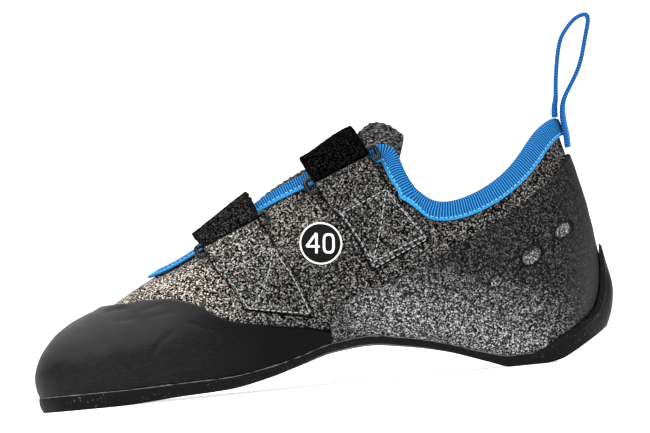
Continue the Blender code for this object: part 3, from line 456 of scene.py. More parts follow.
def line_distance(points, line):
    """Distance in the side view from a broken line given in along and up, and the share of its length."""
    knots = np.stack([x_at([p[0] for p in line]), np.array([p[1] for p in line]) * INSTEP_HEIGHT], -1)
    flat = points[..., [0, 2]]
    lengths = np.linalg.norm(np.diff(knots, axis=0), axis=1)
    best, place = np.full(flat.shape[:-1], 1e9), np.zeros(flat.shape[:-1])
    for k in range(len(lengths)):
        way = knots[k + 1] - knots[k]
        share = np.clip(((flat - knots[k]) @ way) / (way @ way), 0, 1)
        away = np.linalg.norm(flat - knots[k] - share[..., None] * way, axis=-1)
        nearer = away < best
        best = np.where(nearer, away, best)
        place = np.where(nearer, lengths[:k].sum() + share * lengths[k], place)
    return best, place / lengths.sum()


def folds(points, creases):
    """Offset along the normal that the creases add on the medial side."""
    out = np.zeros(points.shape[:-1])
    for crease in creases:
        away, place = line_distance(points, crease.line)
        ends = smooth(np.minimum(place, 1 - place) * 4)
        out -= crease.depth * np.exp(-((away / crease.width) ** 2)) * (0.15 + 0.85 * ends)
    return out * smooth(-points[..., 1] / 0.008 + 0.5)


def ripple(points, scale, seed=0.0):
    """Soft noise between about -1 and 1, by place."""
    flat = points.reshape(-1, 3) * scale + seed
    values = [noise.noise(p) for p in flat.tolist()]
    return np.array(values).reshape(points.shape[:-1]) * 1.6


RELIEF_DEPTH = 0.00022


def relief(points):
    """Unevenness that every layer of the upper shares."""
    return RELIEF_DEPTH * ripple(points, 62.0) + folds(points, UPPER_CREASES)


def skin_at(t, v, offset, uneven=False):
    point, normal, _ = skin_frame(t, v)
    offset = np.broadcast_to(offset, np.shape(point)[:-1])
    if uneven:
        offset = offset + relief(point)
    return point + normal * offset[..., None]


def below_edge(ts, depth):
    """(t, v) of the skin at a depth under the top edge, square to it, and the direction down there."""
    t, v, down = ts, np.ones(len(ts)), None
    for _ in range(TAPE_STEPS):
        along_edge, up_rib = skin(t + 0.01, v) - skin(t - 0.01, v), skin(t, v) - skin(t, v - 0.02)
        if down is None:
            rim = skin(t + TAPE_SPAN, 1.0) - skin(t - TAPE_SPAN, 1.0)
            down = unit(np.cross(rim, np.cross(rim, up_rib)))
            down = down * -np.sign(np.einsum("ij,ij->i", down, up_rib))[:, None]
        pairs = ((along_edge, along_edge), (along_edge, up_rib), (up_rib, up_rib), (along_edge, down),
                 (up_rib, down))
        tt, tv, vv, td, vd = (np.einsum("ij,ij->i", a, b) for a, b in pairs)
        step = 0.02 * depth / TAPE_STEPS / (tt * vv - tv * tv)
        t, v = t + step * (vv * td - tv * vd), v + step * (tt * vd - tv * td)
    return t, v, down


V_FINE = np.linspace(0.0, 1.0, 401)


def first_v(ts, offset, above):
    """Lowest v at which the offset skin is above the given surface of (x, y, z)."""
    points = skin_at(np.asarray(ts)[:, None], V_FINE[None, :], np.reshape(offset, (-1, 1)))
    gap = above(points)
    found = np.argmax(gap >= 0, axis=1)
    back = np.maximum(found - 1, 0)
    rows = np.arange(len(gap))
    g0, g1 = gap[rows, back], gap[rows, found]
    share = np.where(found > 0, -g0 / np.where(g1 == g0, 1, g1 - g0), 0.0)
    return V_FINE[back] + share * (V_FINE[found] - V_FINE[back])


def foot_v(ts, offset, clearance=GAP):
    """v at which the offset skin stands clearance above the sole's top."""
    return first_v(ts, offset, lambda p: p[..., 2] - sole_top(p[..., 0], p[..., 1]) - clearance)


def line_v(ts, rows):
    """v at which the skin crosses a line given in the side view by rows of along and up."""
    xs, zs = x_at(column(rows, "along")), np.asarray(column(rows, "up")) * INSTEP_HEIGHT
    return first_v(ts, 0.0, lambda p: p[..., 2] - monotone(xs, zs, p[..., 0]))


def locate(along, up, side=1):
    """(t, v) of points given in the side view, on the medial side or with side -1 on the lateral."""
    x, z = x_at(along), np.asarray(up) * INSTEP_HEIGHT
    tt, vv = np.meshgrid(np.linspace(0.6, HEEL_T - 0.4, 90), np.linspace(0.05, 1.0, 60))
    points = skin(side * tt.ravel(), vv.ravel())
    near = [int(np.argmin((points[:, 0] - a) ** 2 + (points[:, 2] - b) ** 2)) for a, b in zip(x, z)]
    t, v = tt.ravel()[near], vv.ravel()[near]
    for _ in range(12):
        p, pt, pv = skin(side * t, v), skin(side * (t + 0.001), v), skin(side * t, v - 0.001)
        a, c = (pt - p)[:, 0] / 0.001, (pt - p)[:, 2] / 0.001
        b, d = (p - pv)[:, 0] / 0.001, (p - pv)[:, 2] / 0.001
        det = a * d - b * c
        ex, ez = x - p[:, 0], z - p[:, 2]
        t, v = t + 0.7 * (ex * d - ez * b) / det, np.clip(v + 0.7 * (ez * a - ex * c) / det, 0.01, 1.0)
    return side * t, v


def over(t, q):
    """Surface over the instep: up the medial skin (q to 1), across the throat (to 2), down the lateral."""
    t, q = np.broadcast_arrays(np.asarray(t, float), np.asarray(q, float))
    b = np.clip(q - 1, 0, 1)[..., None]
    height = INSTEP_HEIGHT * table(TONGUE, "rib", "strap", t)[..., None]
    medial, lateral = skin(t, np.clip(q, 0, 1)), skin(-t, np.clip(3 - q, 0, 1))
    across = medial * (1 - b) + lateral * b
    return across + INSTEP_UP * height * (1 - np.abs(2 * b - 1) ** 2.6)


def over_frame(t, q):
    point = over(t, q)
    ahead = unit(over(t, q + 0.05) - over(t, q - 0.05))
    normal = unit(np.cross(over(t + 0.05, q) - over(t - 0.05, q), ahead))
    return point, normal, ahead


# Meshes

WELD = 1e-7
EDGE_STEPS = 5


def flat_quads(rows, columns, start, closed, flip):
    """Quads of a grid stored row by row. A closed grid joins its last row to its first."""
    i = np.arange(rows if closed else rows - 1)[:, None]
    j = np.arange(columns - 1)[None, :]
    a, b = start + i * columns + j, start + (i + 1) % rows * columns + j
    quads = np.stack([a, b, b + 1, a + 1], -1).reshape(-1, 4)
    return quads[:, ::-1] if flip else quads


def shell_quads(rows, n, m, closed):
    """Quads of the solid between an outer grid of n columns and an inner one of m columns."""
    base = rows * n
    blocks = [flat_quads(rows, n, 0, closed, False), flat_quads(rows, m, base, closed, True)]
    i = np.arange(rows if closed else rows - 1)
    k = (i + 1) % rows
    blocks.append(np.stack([i * n, base + i * m, base + k * m, k * n], -1))
    last, inner_last = i * n + n - 1, base + i * m + m - 1
    blocks.append(np.stack([last, k * n + n - 1, base + k * m + m - 1, inner_last], -1))
    if not closed:
        j = np.arange(n - 1)
        for row, flip in ((0, False), (rows - 1, True)):
            near, far = row * n + j, base + row * m + j
            rim = np.stack([near, near + 1, far + 1, far], -1)
            blocks.append(rim[:, ::-1] if flip else rim)
    return np.concatenate(blocks)


def make_mesh(name, points, quads, marks=None, uv=None):
    """Mesh of the quads, with equal corners welded. marks are float attributes, one value a point."""
    keys = np.round(points / WELD).astype(np.int64)
    _, first, back = np.unique(keys, axis=0, return_index=True, return_inverse=True)
    faces = []
    for quad in back.ravel()[quads].tolist():
        face = [a for k, a in enumerate(quad) if a != quad[k - 1]]
        if len(set(face)) > 2:
            faces.append(face)
    kept = points[first]
    corners = np.array([face[:3] for face in faces])
    a, b, c = (kept[corners[:, k]] for k in range(3))
    d = kept[np.array([face[-1] for face in faces])]
    volume = np.einsum("ij,ij->", a, np.cross(b, c)) + np.einsum("ij,ij->", a, np.cross(c, d))
    if volume < 0:
        faces = [face[::-1] for face in faces]
    mesh = bpy.data.meshes.new(name)
    mesh.from_pydata(kept.tolist(), [], faces)
    for label, values in (marks or {}).items():
        layer = mesh.attributes.new(label, "FLOAT", "POINT")
        layer.data.foreach_set("value", np.asarray(values, float).ravel()[first])
    if uv is not None:
        layer = mesh.uv_layers.new(name="UVMap")
        index = np.zeros(len(mesh.loops), np.int32)
        mesh.loops.foreach_get("vertex_index", index)
        layer.data.foreach_set("uv", uv.reshape(-1, 2)[first][index].ravel())
    mesh.shade_smooth()
    mesh.validate()
    return mesh


def add_piece(name, mesh, material, nodes=()):
    """Puts a mesh in the scene as a piece of the shoe."""
    piece = bpy.data.objects.new(name, mesh)
    bpy.context.scene.collection.objects.link(piece)
    mesh.materials.append(material)
    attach(piece, "root")
    if nodes:
        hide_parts(*nodes)
    return piece


def edged(length, radius, count):
    """Shares from 0 to 1 along a length, close together where its two ends are rounded by radius."""
    turn = radius / length * (1 - np.cos(np.linspace(0, math.pi / 2, EDGE_STEPS)))
    middle = np.linspace(turn[-1], 1 - turn[-1], count)
    return np.concatenate([turn[:-1], middle, 1 - turn[:-1][::-1]])


def rounded(away, radius):
    """Share of the full half thickness at a distance from a rounded edge."""
    left = 1 - np.clip(away / radius, 0, 1)
    return np.sqrt(np.maximum(1 - left * left, 0))


def grid_normals(grid):
    along, across = np.gradient(grid, axis=0), np.gradient(grid, axis=1)
    return unit(np.cross(along, across))


def run_length(grid, axis):
    """Way along an axis of the grid, from its first row or column."""
    steps = np.linalg.norm(np.diff(grid, axis=axis), axis=-1)
    zero = np.zeros_like(np.take(steps, [0], axis=axis))
    return np.concatenate([zero, np.cumsum(steps, axis=axis)], axis=axis)


def spline_rows(grid, shares):
    """Rows at the shares of the length of a natural cubic spline through the grid's rows."""
    steps = np.linalg.norm(np.diff(grid, axis=0), axis=-1).mean(axis=1)
    knots = np.concatenate([[0], np.cumsum(np.sqrt(steps))])
    n, h = len(knots), np.diff(knots)
    matrix, right = np.eye(n), np.zeros_like(grid)
    for k in range(1, n - 1):
        matrix[k, k - 1:k + 2] = h[k - 1], 2 * (h[k - 1] + h[k]), h[k]
        right[k] = 6 * ((grid[k + 1] - grid[k]) / h[k] - (grid[k] - grid[k - 1]) / h[k - 1])
    bend = np.linalg.solve(matrix, right.reshape(n, -1)).reshape(grid.shape)

    def at(places):
        i = np.clip(np.searchsorted(knots, places, side="right") - 1, 0, n - 2)
        a, b = (knots[i + 1] - places) / h[i], (places - knots[i]) / h[i]
        a, b, w = a[:, None, None], b[:, None, None], (h[i] ** 2 / 6)[:, None, None]
        return a * grid[i] + b * grid[i + 1] + ((a**3 - a) * bend[i] + (b**3 - b) * bend[i + 1]) * w

    fine = np.linspace(0, knots[-1], 600)
    way = run_length(at(fine), 0).mean(axis=1)
    return at(np.interp(shares * way[-1], way, fine))


def cushion(grid, thickness, side=0.0, swell=0.0, sink=0.0):
    """Top and bottom grid of a sheet with rounded edges. swell and sink move its top and bottom face."""
    normals = grid_normals(grid)
    rows, columns = run_length(grid, 0), run_length(grid, 1)
    edge = rounded(np.minimum(columns, columns[:, -1:] - columns), thickness / 2)
    edge = edge * rounded(np.minimum(rows, rows[-1:] - rows), thickness / 2)
    middle = grid + normals * thickness * side / 2
    half = (thickness / 2 * edge)[..., None]
    swell = (np.broadcast_to(swell, edge.shape) * edge)[..., None]
    sink = (np.broadcast_to(sink, edge.shape) * edge)[..., None]
    return middle + normals * (half + swell), middle - normals * (half + sink), normals


def sheet_mesh(name, grid, thickness, marks=None, **options):
    top, bottom, _ = cushion(grid, thickness, **options)
    rows, n = grid.shape[:2]
    points = np.concatenate([top.reshape(-1, 3), bottom.reshape(-1, 3)])
    flat = np.stack([run_length(grid, 1), run_length(grid, 0)], -1)
    uv = np.concatenate([flat.reshape(-1, 2)] * 2)
    doubled = {key: np.concatenate([value.ravel()] * 2) for key, value in (marks or {}).items()}
    return make_mesh(name, points, shell_quads(rows, n, n, False), doubled, uv)


# Materials

SPECKS = 1950.0


class Shader:
    """A material's node tree, built up by short calls. Inputs are sockets or plain values."""

    def __init__(self, name):
        self.material = bpy.data.materials.new(name)
        self.material.use_nodes = True
        self.tree = self.material.node_tree
        self.principled = self.tree.nodes["Principled BSDF"]
        self.place = self.node("ShaderNodeTexCoord").outputs["Object"]

    def node(self, kind, **settings):
        made = self.tree.nodes.new(kind)
        for key, value in settings.items():
            setattr(made, key, value)
        return made

    def feed(self, socket, value):
        if isinstance(value, bpy.types.NodeSocket):
            self.tree.links.new(value, socket)
        elif isinstance(value, tuple) and len(value) == 3 and socket.type == "RGBA":
            socket.default_value = (*value, 1.0)
        else:
            socket.default_value = value

    def uv(self):
        return self.node("ShaderNodeTexCoord").outputs["UV"]

    def stretched(self, vector, scale):
        made = self.node("ShaderNodeMapping")
        self.feed(made.inputs["Vector"], vector)
        made.inputs["Scale"].default_value = scale
        return made.outputs["Vector"]

    def noise(self, scale, detail=3.0, roughness=0.5, vector=None, distortion=0.0):
        made = self.node("ShaderNodeTexNoise")
        self.feed(made.inputs["Vector"], vector or self.place)
        made.inputs["Scale"].default_value = scale
        made.inputs["Detail"].default_value = detail
        made.inputs["Roughness"].default_value = roughness
        made.inputs["Distortion"].default_value = distortion
        return made.outputs["Fac"]

    def specks(self, scale):
        """A random value from 0 to 1 for each small cell."""
        made = self.node("ShaderNodeTexVoronoi")
        self.feed(made.inputs["Vector"], self.place)
        made.inputs["Scale"].default_value = scale
        return self.axis(made.outputs["Color"], 0)

    def salted(self, color, value, power, gain, floor):
        """The colour times floor + gain * value to the power, as salt and pepper specks."""
        factor = self.math("ADD", self.math("MULTIPLY", self.math("POWER", value, power), gain), floor)
        return self.blend(1.0, color, self.grey(factor), "MULTIPLY")

    def grey(self, value):
        made = self.node("ShaderNodeCombineXYZ")
        for k in range(3):
            self.feed(made.inputs[k], value)
        return made.outputs[0]

    def mark(self, name):
        return self.node("ShaderNodeAttribute", attribute_name=name).outputs["Fac"]

    def math(self, operation, a, b=0.0, clamp=False):
        made = self.node("ShaderNodeMath", operation=operation, use_clamp=clamp)
        self.feed(made.inputs[0], a)
        self.feed(made.inputs[1], b)
        return made.outputs[0]

    def spread(self, value, low, high, to_low=0.0, to_high=1.0):
        made = self.node("ShaderNodeMapRange")
        self.feed(made.inputs["Value"], value)
        for key, number in zip(("From Min", "From Max", "To Min", "To Max"), (low, high, to_low, to_high)):
            made.inputs[key].default_value = number
        return made.outputs["Result"]

    def blend(self, share, a, b, way="MIX"):
        made = self.node("ShaderNodeMix", data_type="RGBA", blend_type=way)
        self.feed(made.inputs[0], share)
        self.feed(made.inputs[6], a)
        self.feed(made.inputs[7], b)
        return made.outputs[2]

    def axis(self, vector, index):
        made = self.node("ShaderNodeSeparateXYZ")
        self.feed(made.inputs[0], vector)
        return made.outputs[index]

    def bump(self, height, depth, strength=1.0, after=None):
        made = self.node("ShaderNodeBump")
        made.inputs["Strength"].default_value = strength
        made.inputs["Distance"].default_value = depth
        self.feed(made.inputs["Height"], height)
        if after is not None:
            self.feed(made.inputs["Normal"], after)
        return made.outputs["Normal"]

    def finish(self, color, roughness, normal, gloss=0.0):
        inputs = self.principled.inputs
        for key, value in (("Base Color", color), ("Roughness", roughness), ("Normal", normal)):
            self.feed(inputs[key], value)
        inputs["Specular IOR Level"].default_value = gloss
        return self.material


def set_inputs(material, values):
    shader = material.node_tree.nodes["Principled BSDF"]
    for key, value in values.items():
        shader.inputs[key].default_value = value


def suede_material(name, light, dark, lining=False):
    """Speckled microsuede, light over the vamp and darker towards the heel and the sole."""
    s = Shader(name)
    rear = s.spread(s.axis(s.place, 0), x_at(0.223), x_at(0.552))
    low = s.spread(s.axis(s.place, 2), 0.065, 0.045, 1.0, 1.5)
    share = s.math("MULTIPLY", rear, low, clamp=True)
    base = s.blend(share, light, dark)
    cloud = s.noise(110.0, 3.0, 0.6)
    base = s.blend(s.spread(cloud, 0.35, 0.65, 0.0, 0.30), base, dark)
    speck = s.specks(SPECKS)
    warm = s.blend(s.specks(SPECKS * 0.5), (1.05, 1.0, 0.93), (0.97, 1.0, 1.02))
    color = s.salted(s.blend(1.0, base, warm, "MULTIPLY"), speck, 4.5, 7.4, 0.02)
    if lining:
        color = s.blend(s.mark("inside"), color, s.salted((0.020, 0.020, 0.021), speck, 2.0, 2.0, 0.3))
    else:
        # Partly painted shadow: the tab's sides get a narrow dark cut edge and its bottom a wider near-black
        # band where the tab's shadow falls.
        color = s.blend(s.mark("cut_edge_and_shadow"), color, (0.003, 0.003, 0.003))
    normal = s.bump(speck, 0.0002, 0.5)
    return s.finish(color, 0.95, normal)


def toe_rubber_material():
    """Smooth climbing rubber with faint brushed streaks, darkest towards the arch, with a painted highlight
    on the faces that look up.
    """
    s = Shader("toe_rubber")
    cloud = s.noise(45.0, 5.0, 0.6)
    rear = s.spread(s.axis(s.place, 0), x_at(0.22), x_at(0.42))
    front_tone = s.blend(s.spread(cloud, 0.3, 0.7), (0.0045, 0.0045, 0.005), (0.0085, 0.0085, 0.009))
    # Painted highlight: the faces that look up are lightened towards a paler grey.
    top_highlight = s.spread(s.axis(s.node("ShaderNodeNewGeometry").outputs["Normal"], 2), 0.25, 0.85)
    front_tone = s.blend(top_highlight, front_tone, (0.034, 0.034, 0.036))
    color = s.blend(rear, front_tone, (0.0010, 0.0010, 0.0012))
    streak = s.noise(420.0, 4.0, 0.65, vector=s.stretched(s.place, (1.0, 1.0, 4.5)), distortion=0.6)
    paler = s.math("MULTIPLY", s.spread(streak, 0.50, 0.75, 0.0, 0.30), s.spread(rear, 0.0, 1.0, 1.0, 0.06))
    color = s.blend(paler, color, (0.040, 0.040, 0.044))
    fine = s.noise(1700.0, 2.0, 0.6)
    rough = s.spread(streak, 0.3, 0.7, 0.40, 0.55)
    normal = s.bump(fine, 0.0001, 0.35, s.bump(streak, 0.0002, 0.35, s.bump(cloud, 0.0008, 0.25)))
    return s.finish(color, rough, normal, 0.06)


def heel_rubber_material():
    """Matte and smooth at the back, grained, with a painted highlight of silvery glints in a band under the
    arch.
    """
    s = Shader("heel_rubber")
    x, z = s.axis(s.place, 0), s.axis(s.place, 2)
    band = s.math("ADD", z, s.math("MULTIPLY", x, 0.30))
    high = s.spread(band, 0.039, 0.010)
    back = s.spread(x, x_at(1.0), x_at(0.86))
    front = s.spread(x, x_at(0.53), x_at(0.62), 0.35, 1.0)
    glint = s.math("MULTIPLY", s.math("MULTIPLY", high, back), front)
    speck = s.specks(SPECKS)
    # Painted highlight: the glint band lightens the base colour.
    base = s.blend(glint, (0.014, 0.014, 0.0145), (0.094, 0.094, 0.096))
    rough_part = s.spread(x, x_at(1.0), x_at(0.93))
    smooth_part = s.blend(s.spread(z, 0.030, 0.070), (0.030, 0.030, 0.030), (0.012, 0.012, 0.012))
    smooth_part = s.blend(1.0, smooth_part, s.grey(s.spread(speck, 0.0, 1.0, 0.75, 1.25)), "MULTIPLY")
    grained = s.salted(base, speck, 4.0, 5.6, 0.06)
    color = s.blend(rough_part, smooth_part, grained)
    sunk = s.mark("window")
    dotted = s.salted((0.090, 0.090, 0.087), s.specks(SPECKS), 3.0, 4.4, 0.10)
    color = s.blend(sunk, color, dotted)
    # Painted shadow: a near-black ring round each sunk window.
    color = s.blend(s.mark("rim"), color, (0.002, 0.002, 0.002))
    normal = s.bump(speck, 0.00012, 0.5)
    return s.finish(color, s.spread(glint, 0.0, 1.0, 0.60, 0.45), normal, 0.05)


def outsole_material():
    s = Shader("outsole_rubber")
    cloud = s.noise(60.0, 4.0, 0.6)
    color = s.blend(s.spread(cloud, 0.3, 0.7), (0.001, 0.001, 0.001), (0.003, 0.003, 0.003))
    dust = s.spread(s.specks(1900.0), 0.93, 1.0, 0.0, 0.5)
    color = s.blend(s.math("MULTIPLY", dust, s.spread(cloud, 0.45, 0.65)), color, (0.12, 0.12, 0.12))
    fine = s.noise(900.0, 3.0, 0.6)
    normal = s.bump(fine, 0.00015, 0.4)
    return s.finish(color, s.spread(cloud, 0.3, 0.7, 0.50, 0.66), normal, 0.09)


def textile_material(name, color, pitch, depth):
    """Fine knit by place, as a bump and a change of shade."""
    s = Shader(name)
    knit = s.noise(0.7 / pitch, 2.0, 0.6, vector=s.stretched(s.place, (0.35, 1.0, 1.6)))
    shade = s.salted(color, s.spread(knit, 0.32, 0.68), 2.4, 3.2, 0.06)
    return s.finish(s.salted(shade, s.specks(SPECKS), 2.0, 2.2, 0.30), 0.95, s.bump(knit, depth, 0.7))


def tape_material(name, bright, groove_shade):
    """Ribbed tape, with painted shade darkening the grooves. The mark rib is 1 on a rib's crown and 0 in the
    groove.
    """
    s = Shader(name)
    rib = s.mark("rib")
    fibre = s.noise(2600.0, 2.0, 0.6)
    color = s.blend(s.spread(rib, 0.38, 0.95), groove_shade, bright)
    color = s.blend(s.mark("hem"), color, (0.030, 0.26, 0.54))
    color = s.blend(s.spread(fibre, 0.35, 0.7, 0.0, 0.10), color, (0.12, 0.40, 0.75))
    return s.finish(color, 0.80, s.bump(fibre, 0.0002, 0.5), 0.05)


def webbing_material():
    """Blue webbing in a fine twill with slightly darker edges."""
    s = Shader("blue_webbing")
    u, v = s.axis(s.uv(), 0), s.axis(s.uv(), 1)
    slant = s.math("SINE", s.math("MULTIPLY", s.math("ADD", v, u), 2 * math.pi / 0.0012))
    check = s.math("SINE", s.math("MULTIPLY", s.math("SUBTRACT", v, u), 2 * math.pi / 0.0012))
    weave = s.math("MULTIPLY", slant, check)
    color = s.blend(s.spread(weave, -0.5, 0.5), (0.004, 0.085, 0.30), (0.010, 0.20, 0.60))
    edge = s.blend(s.spread(check, -0.2, 0.4), (0.002, 0.025, 0.080), (0.008, 0.13, 0.42))
    color = s.blend(s.mark("edge"), color, edge)
    fibre = s.noise(2400.0, 2.0, 0.6)
    return s.finish(color, 0.70, s.bump(weave, 0.0002, 0.5, s.bump(fibre, 0.0002, 0.3)), 0.1)


def pile_material(tone):
    """Black hook and loop strap: matte pile with grey fibre ends and a woven selvedge."""
    s = Shader("hook_loop_" + ("paler" if tone > 0.5 else "black"))
    tuft = s.specks(2600.0)
    color = s.salted((0.0040 * tone,) * 3, tuft, 6.0, 22.0, 0.15)
    color = s.blend(s.mark("selvedge"), color, s.salted((0.010 * tone,) * 3, tuft, 2.0, 2.4, 0.1))
    fluff = s.noise(1500.0, 3.0, 0.7)
    return s.finish(color, 0.97, s.bump(fluff, 0.0006, 0.6))


def plain_material(name, color, roughness, gloss=0.05):
    """One colour with a fine grain."""
    s = Shader(name)
    fine = s.noise(1200.0, 2.0, 0.6)
    paler = s.blend(s.spread(fine, 0.3, 0.7, 0.0, 0.3), color, tuple(min(1.0, c * 1.7) for c in color))
    return s.finish(paler, roughness, s.bump(fine, 0.0001, 0.4), gloss)


# Pieces

def upper_piece(material):
    ts = np.linspace(0, RIB_COUNT, 441)[:-1][:, None]
    outer_v, inner_v = np.linspace(0, 1, 101)[None, :], np.linspace(0, 1, 21)[None, :]
    outer = skin_at(ts, outer_v, 0.0, True)
    inner = skin_at(ts, inner_v, -WALL, True)
    points = np.concatenate([outer.reshape(-1, 3), inner.reshape(-1, 3)])
    inside = np.concatenate([np.zeros(outer[..., 0].size), np.ones(inner[..., 0].size)])
    quads = shell_quads(len(ts), outer_v.size, inner_v.size, True)
    return add_piece("upper_suede", make_mesh("upper_suede", points, quads, {"inside": inside}),
                     material, ["upper"])


def band_grids(ts, thickness, v_high, rows, surface):
    """Outer and inner grid of a band on the skin, with a rounded top edge."""
    thickness = np.broadcast_to(thickness, ts.shape)[:, None]
    radius = float(thickness.mean()) * 0.55
    grids = []
    for outside in (True, False):
        base = GAP + (thickness[:, 0] if outside else 0.0)
        v_low = foot_v(ts, base)[:, None]
        reach = np.linalg.norm(skin(ts, v_high) - skin(ts, v_low[:, 0]), axis=1).mean()
        shares = edged(reach, radius, rows)[None, EDGE_STEPS - 1:]
        shares = (shares - shares[0, 0]) / (1 - shares[0, 0])
        v = v_low + (v_high[:, None] - v_low) * shares
        points = skin(ts[:, None], v)
        away = run_length(points, 1)
        profile = rounded(away[:, -1:] - away, radius)
        offset = GAP + (thickness * profile if outside else 0 * profile)
        if outside:
            offset = offset + surface(points) * profile
        grids.append(skin_at(ts[:, None], v, offset, True))
    return grids


def band_piece(name, ts, grids, material, nodes, marks=None):
    outer, inner = grids
    points = np.concatenate([outer.reshape(-1, 3), inner.reshape(-1, 3)])
    quads = shell_quads(len(ts), outer.shape[1], inner.shape[1], False)
    zeros = np.zeros(inner[..., 0].size)
    padded = {key: np.concatenate([value.ravel(), zeros]) for key, value in (marks or {}).items()}
    return add_piece(name, make_mesh(name, points, quads, padded), material, nodes)


def layer_step(points):
    """The step of the rubber layer that ends on a curve over the toe."""
    xs, zs = x_at(column(LAYER_EDGE, "along")), np.asarray(column(LAYER_EDGE, "up")) * INSTEP_HEIGHT
    below = monotone(xs, zs, points[..., 0]) - points[..., 2]
    near = smooth((x_at(LAYER_END) - points[..., 0]) / 0.006)
    return LAYER_STEP * smooth(below / 0.0005 + 0.5) * near


def toe_surface(points):
    dx, dz = points[..., 0] - x_at(TOE_SWELL.along), points[..., 2] - TOE_SWELL.up * INSTEP_HEIGHT
    swell = TOE_SWELL_RISE * np.exp(-(dx * dx + dz * dz) / TOE_SWELL_REACH**2)
    return swell + folds(points, RAND_CREASES) + layer_step(points) + RAND_UNEVEN * ripple(points, 150.0, 3.0)


def toe_rand_piece(material):
    ts = np.linspace(-JOINT_RIB + JOINT_EASE, JOINT_RIB - JOINT_EASE, 361)
    v_high = line_v(ts, TOE_RAND_EDGE)
    grids = band_grids(ts, TOE_RAND_THICKNESS, v_high, 60, toe_surface)
    return band_piece("toe_rand_rubber", ts, grids, material, ["toe_rand"])


def window_share(points, grown):
    """1 inside a window sunk into the heel rand, grown by a factor, on both sides of the shoe."""
    out = np.zeros(points.shape[:-1])
    for w in WINDOWS:
        lean = math.radians(w.lean)
        dx, dz = points[..., 0] - x_at(w.along), points[..., 2] - w.up * INSTEP_HEIGHT
        a = (dx * math.cos(lean) + dz * math.sin(lean)) / w.half_long
        b = (-dx * math.sin(lean) + dz * math.cos(lean)) / w.half_high
        out = np.maximum(out, smooth((grown - np.sqrt(a * a + b * b)) * 5 + 0.5))
    return out


def heel_rand_piece(material):
    ts = np.linspace(JOINT_RIB + JOINT_EASE, RIB_COUNT - JOINT_RIB - JOINT_EASE, 401)
    v_high = line_v(ts, HEEL_RAND_EDGE)
    marks = {}

    def surface(points):
        marks["window"] = window_share(points, 1.0)
        # rim is the ring round each window that is painted near-black as the shadow at its edge
        marks["rim"] = np.clip(window_share(points, WINDOW_SHADE_GROWTH) - marks["window"], 0, 1)
        return -WINDOW_DEPTH * marks["window"] + HEEL_UNEVEN * ripple(points, 170.0, 9.0)

    grids = band_grids(ts, HEEL_RAND_THICKNESS, v_high, 72, surface)
    return band_piece("heel_rand_rubber", ts, grids, material, ["heel_rand"], marks)


def rand_thickness(ts):
    from_heel = HEEL_T - np.abs((np.asarray(ts) + HEEL_T) % RIB_COUNT - HEEL_T)
    share = np.clip(from_heel - JOINT_RIBS_FROM_HEEL, 0, 1)
    return HEEL_RAND_THICKNESS + (TOE_RAND_THICKNESS - HEEL_RAND_THICKNESS) * share


def on_surface(points, surface):
    out = points.copy()
    out[..., 2] = surface(out[..., 0], out[..., 1])
    return out


def rungs(medial, lateral, columns):
    share = np.linspace(0.0, 1.0, columns)[None, :, None]
    return medial[:, None, :] * (1 - share) + lateral[:, None, :] * share


def outsole_edges(ts):
    """Top and bottom edge line of the sole plate, with the offset of its wrap and its share."""
    share = smooth((WRAP[-1].ribs - np.abs(ts % RIB_COUNT - HEEL_T)) / 0.5)
    outward = outward_at(ts)
    offset = rand_thickness(ts) + 2 * GAP + WRAP_EASE * share
    low = foot_v(ts, offset, 0.0)
    start = skin_at(ts, low, offset)
    top = on_surface(start + outward * SOLE_LIP * (1 - share[:, None]), sole_top)
    bottom = on_surface(top - outward * SIDE_BEVEL * (1 - 0.6 * share[:, None]), ground)
    return share[:, None], offset[:, None], low[:, None], outward, top, bottom


def outsole_piece(material):
    ts = np.linspace(0, RIB_COUNT, 529)[:-1]
    share, offset, low, outward, top, bottom = outsole_edges(ts)
    from_heel = np.abs(ts - HEEL_T)
    height = HEEL_HEIGHT * table(WRAP, "ribs", "height", from_heel)
    high = first_v(ts, offset + WRAP_THICKNESS, lambda p: p[..., 2] - height[:, None])[:, None]
    high = np.where(share > 0, np.maximum(high, low), low)
    rows = 30
    step = np.linspace(0.0, 1.0, rows)[None, :]
    step = 1 - (1 - step) ** 1.6
    v = low + (high - low) * step
    thickness = np.linalg.norm(top - bottom, axis=1)[:, None]
    middle = thickness + (WRAP_THICKNESS - thickness) * np.clip(step * 1.3, 0, 1)
    inner = skin_at(ts[:, None], v, offset)
    away = run_length(inner, 1)
    taper = 1 - WRAP_THINNING * smooth((away - WRAP_THIN_FROM) / WRAP_THIN_OVER)
    middle = middle * taper * np.maximum(rounded(away[:, -1:] - away, WRAP_THICKNESS * 0.6), 0.02)
    outer = skin_at(ts[:, None], v, offset + middle)
    lift = ground(outer[..., 0], outer[..., 1])
    outer[..., 2] = np.maximum(outer[..., 2], np.minimum(lift, inner[..., 2] - 0.001))
    side = bottom[:, None] + (top - bottom)[:, None] * step[..., None]
    bulge = SIDE_BULGE * np.sin(math.pi * np.clip(step * 1.02, 0, 1)) ** 0.7
    side = side + outward[:, None] * bulge[..., None]
    blend = share[..., None]
    outer = side * (1 - blend) + outer * blend
    inner = top[:, None] * (1 - blend) + inner * blend
    outer[:, 0], inner[:, 0] = bottom, top

    half = len(ts) // 2
    medial = np.arange(half + 1)
    lateral = (-medial) % len(ts)
    top_plate = on_surface(rungs(top[medial], top[lateral], 13), sole_top)
    bottom_plate = on_surface(rungs(bottom[medial], bottom[lateral], 41), ground)
    blocks, points, start = [], [], 0
    for grid, closed in ((outer, True), (inner, True), (top_plate, False), (bottom_plate, False)):
        flip = grid is inner or grid is top_plate
        blocks.append(flat_quads(len(grid), grid.shape[1], start, closed, flip))
        points.append(grid.reshape(-1, 3))
        start += len(points[-1])
    i = np.arange(len(ts))
    k = (i + 1) % len(ts)
    a, b, base = i * rows + rows - 1, k * rows + rows - 1, len(ts) * rows
    blocks.append(np.stack([a, b, b + base, a + base], -1))
    mesh = make_mesh("outsole_plate", np.concatenate(points), np.concatenate(blocks))
    return add_piece("outsole_plate", mesh, material, ["outsole"])


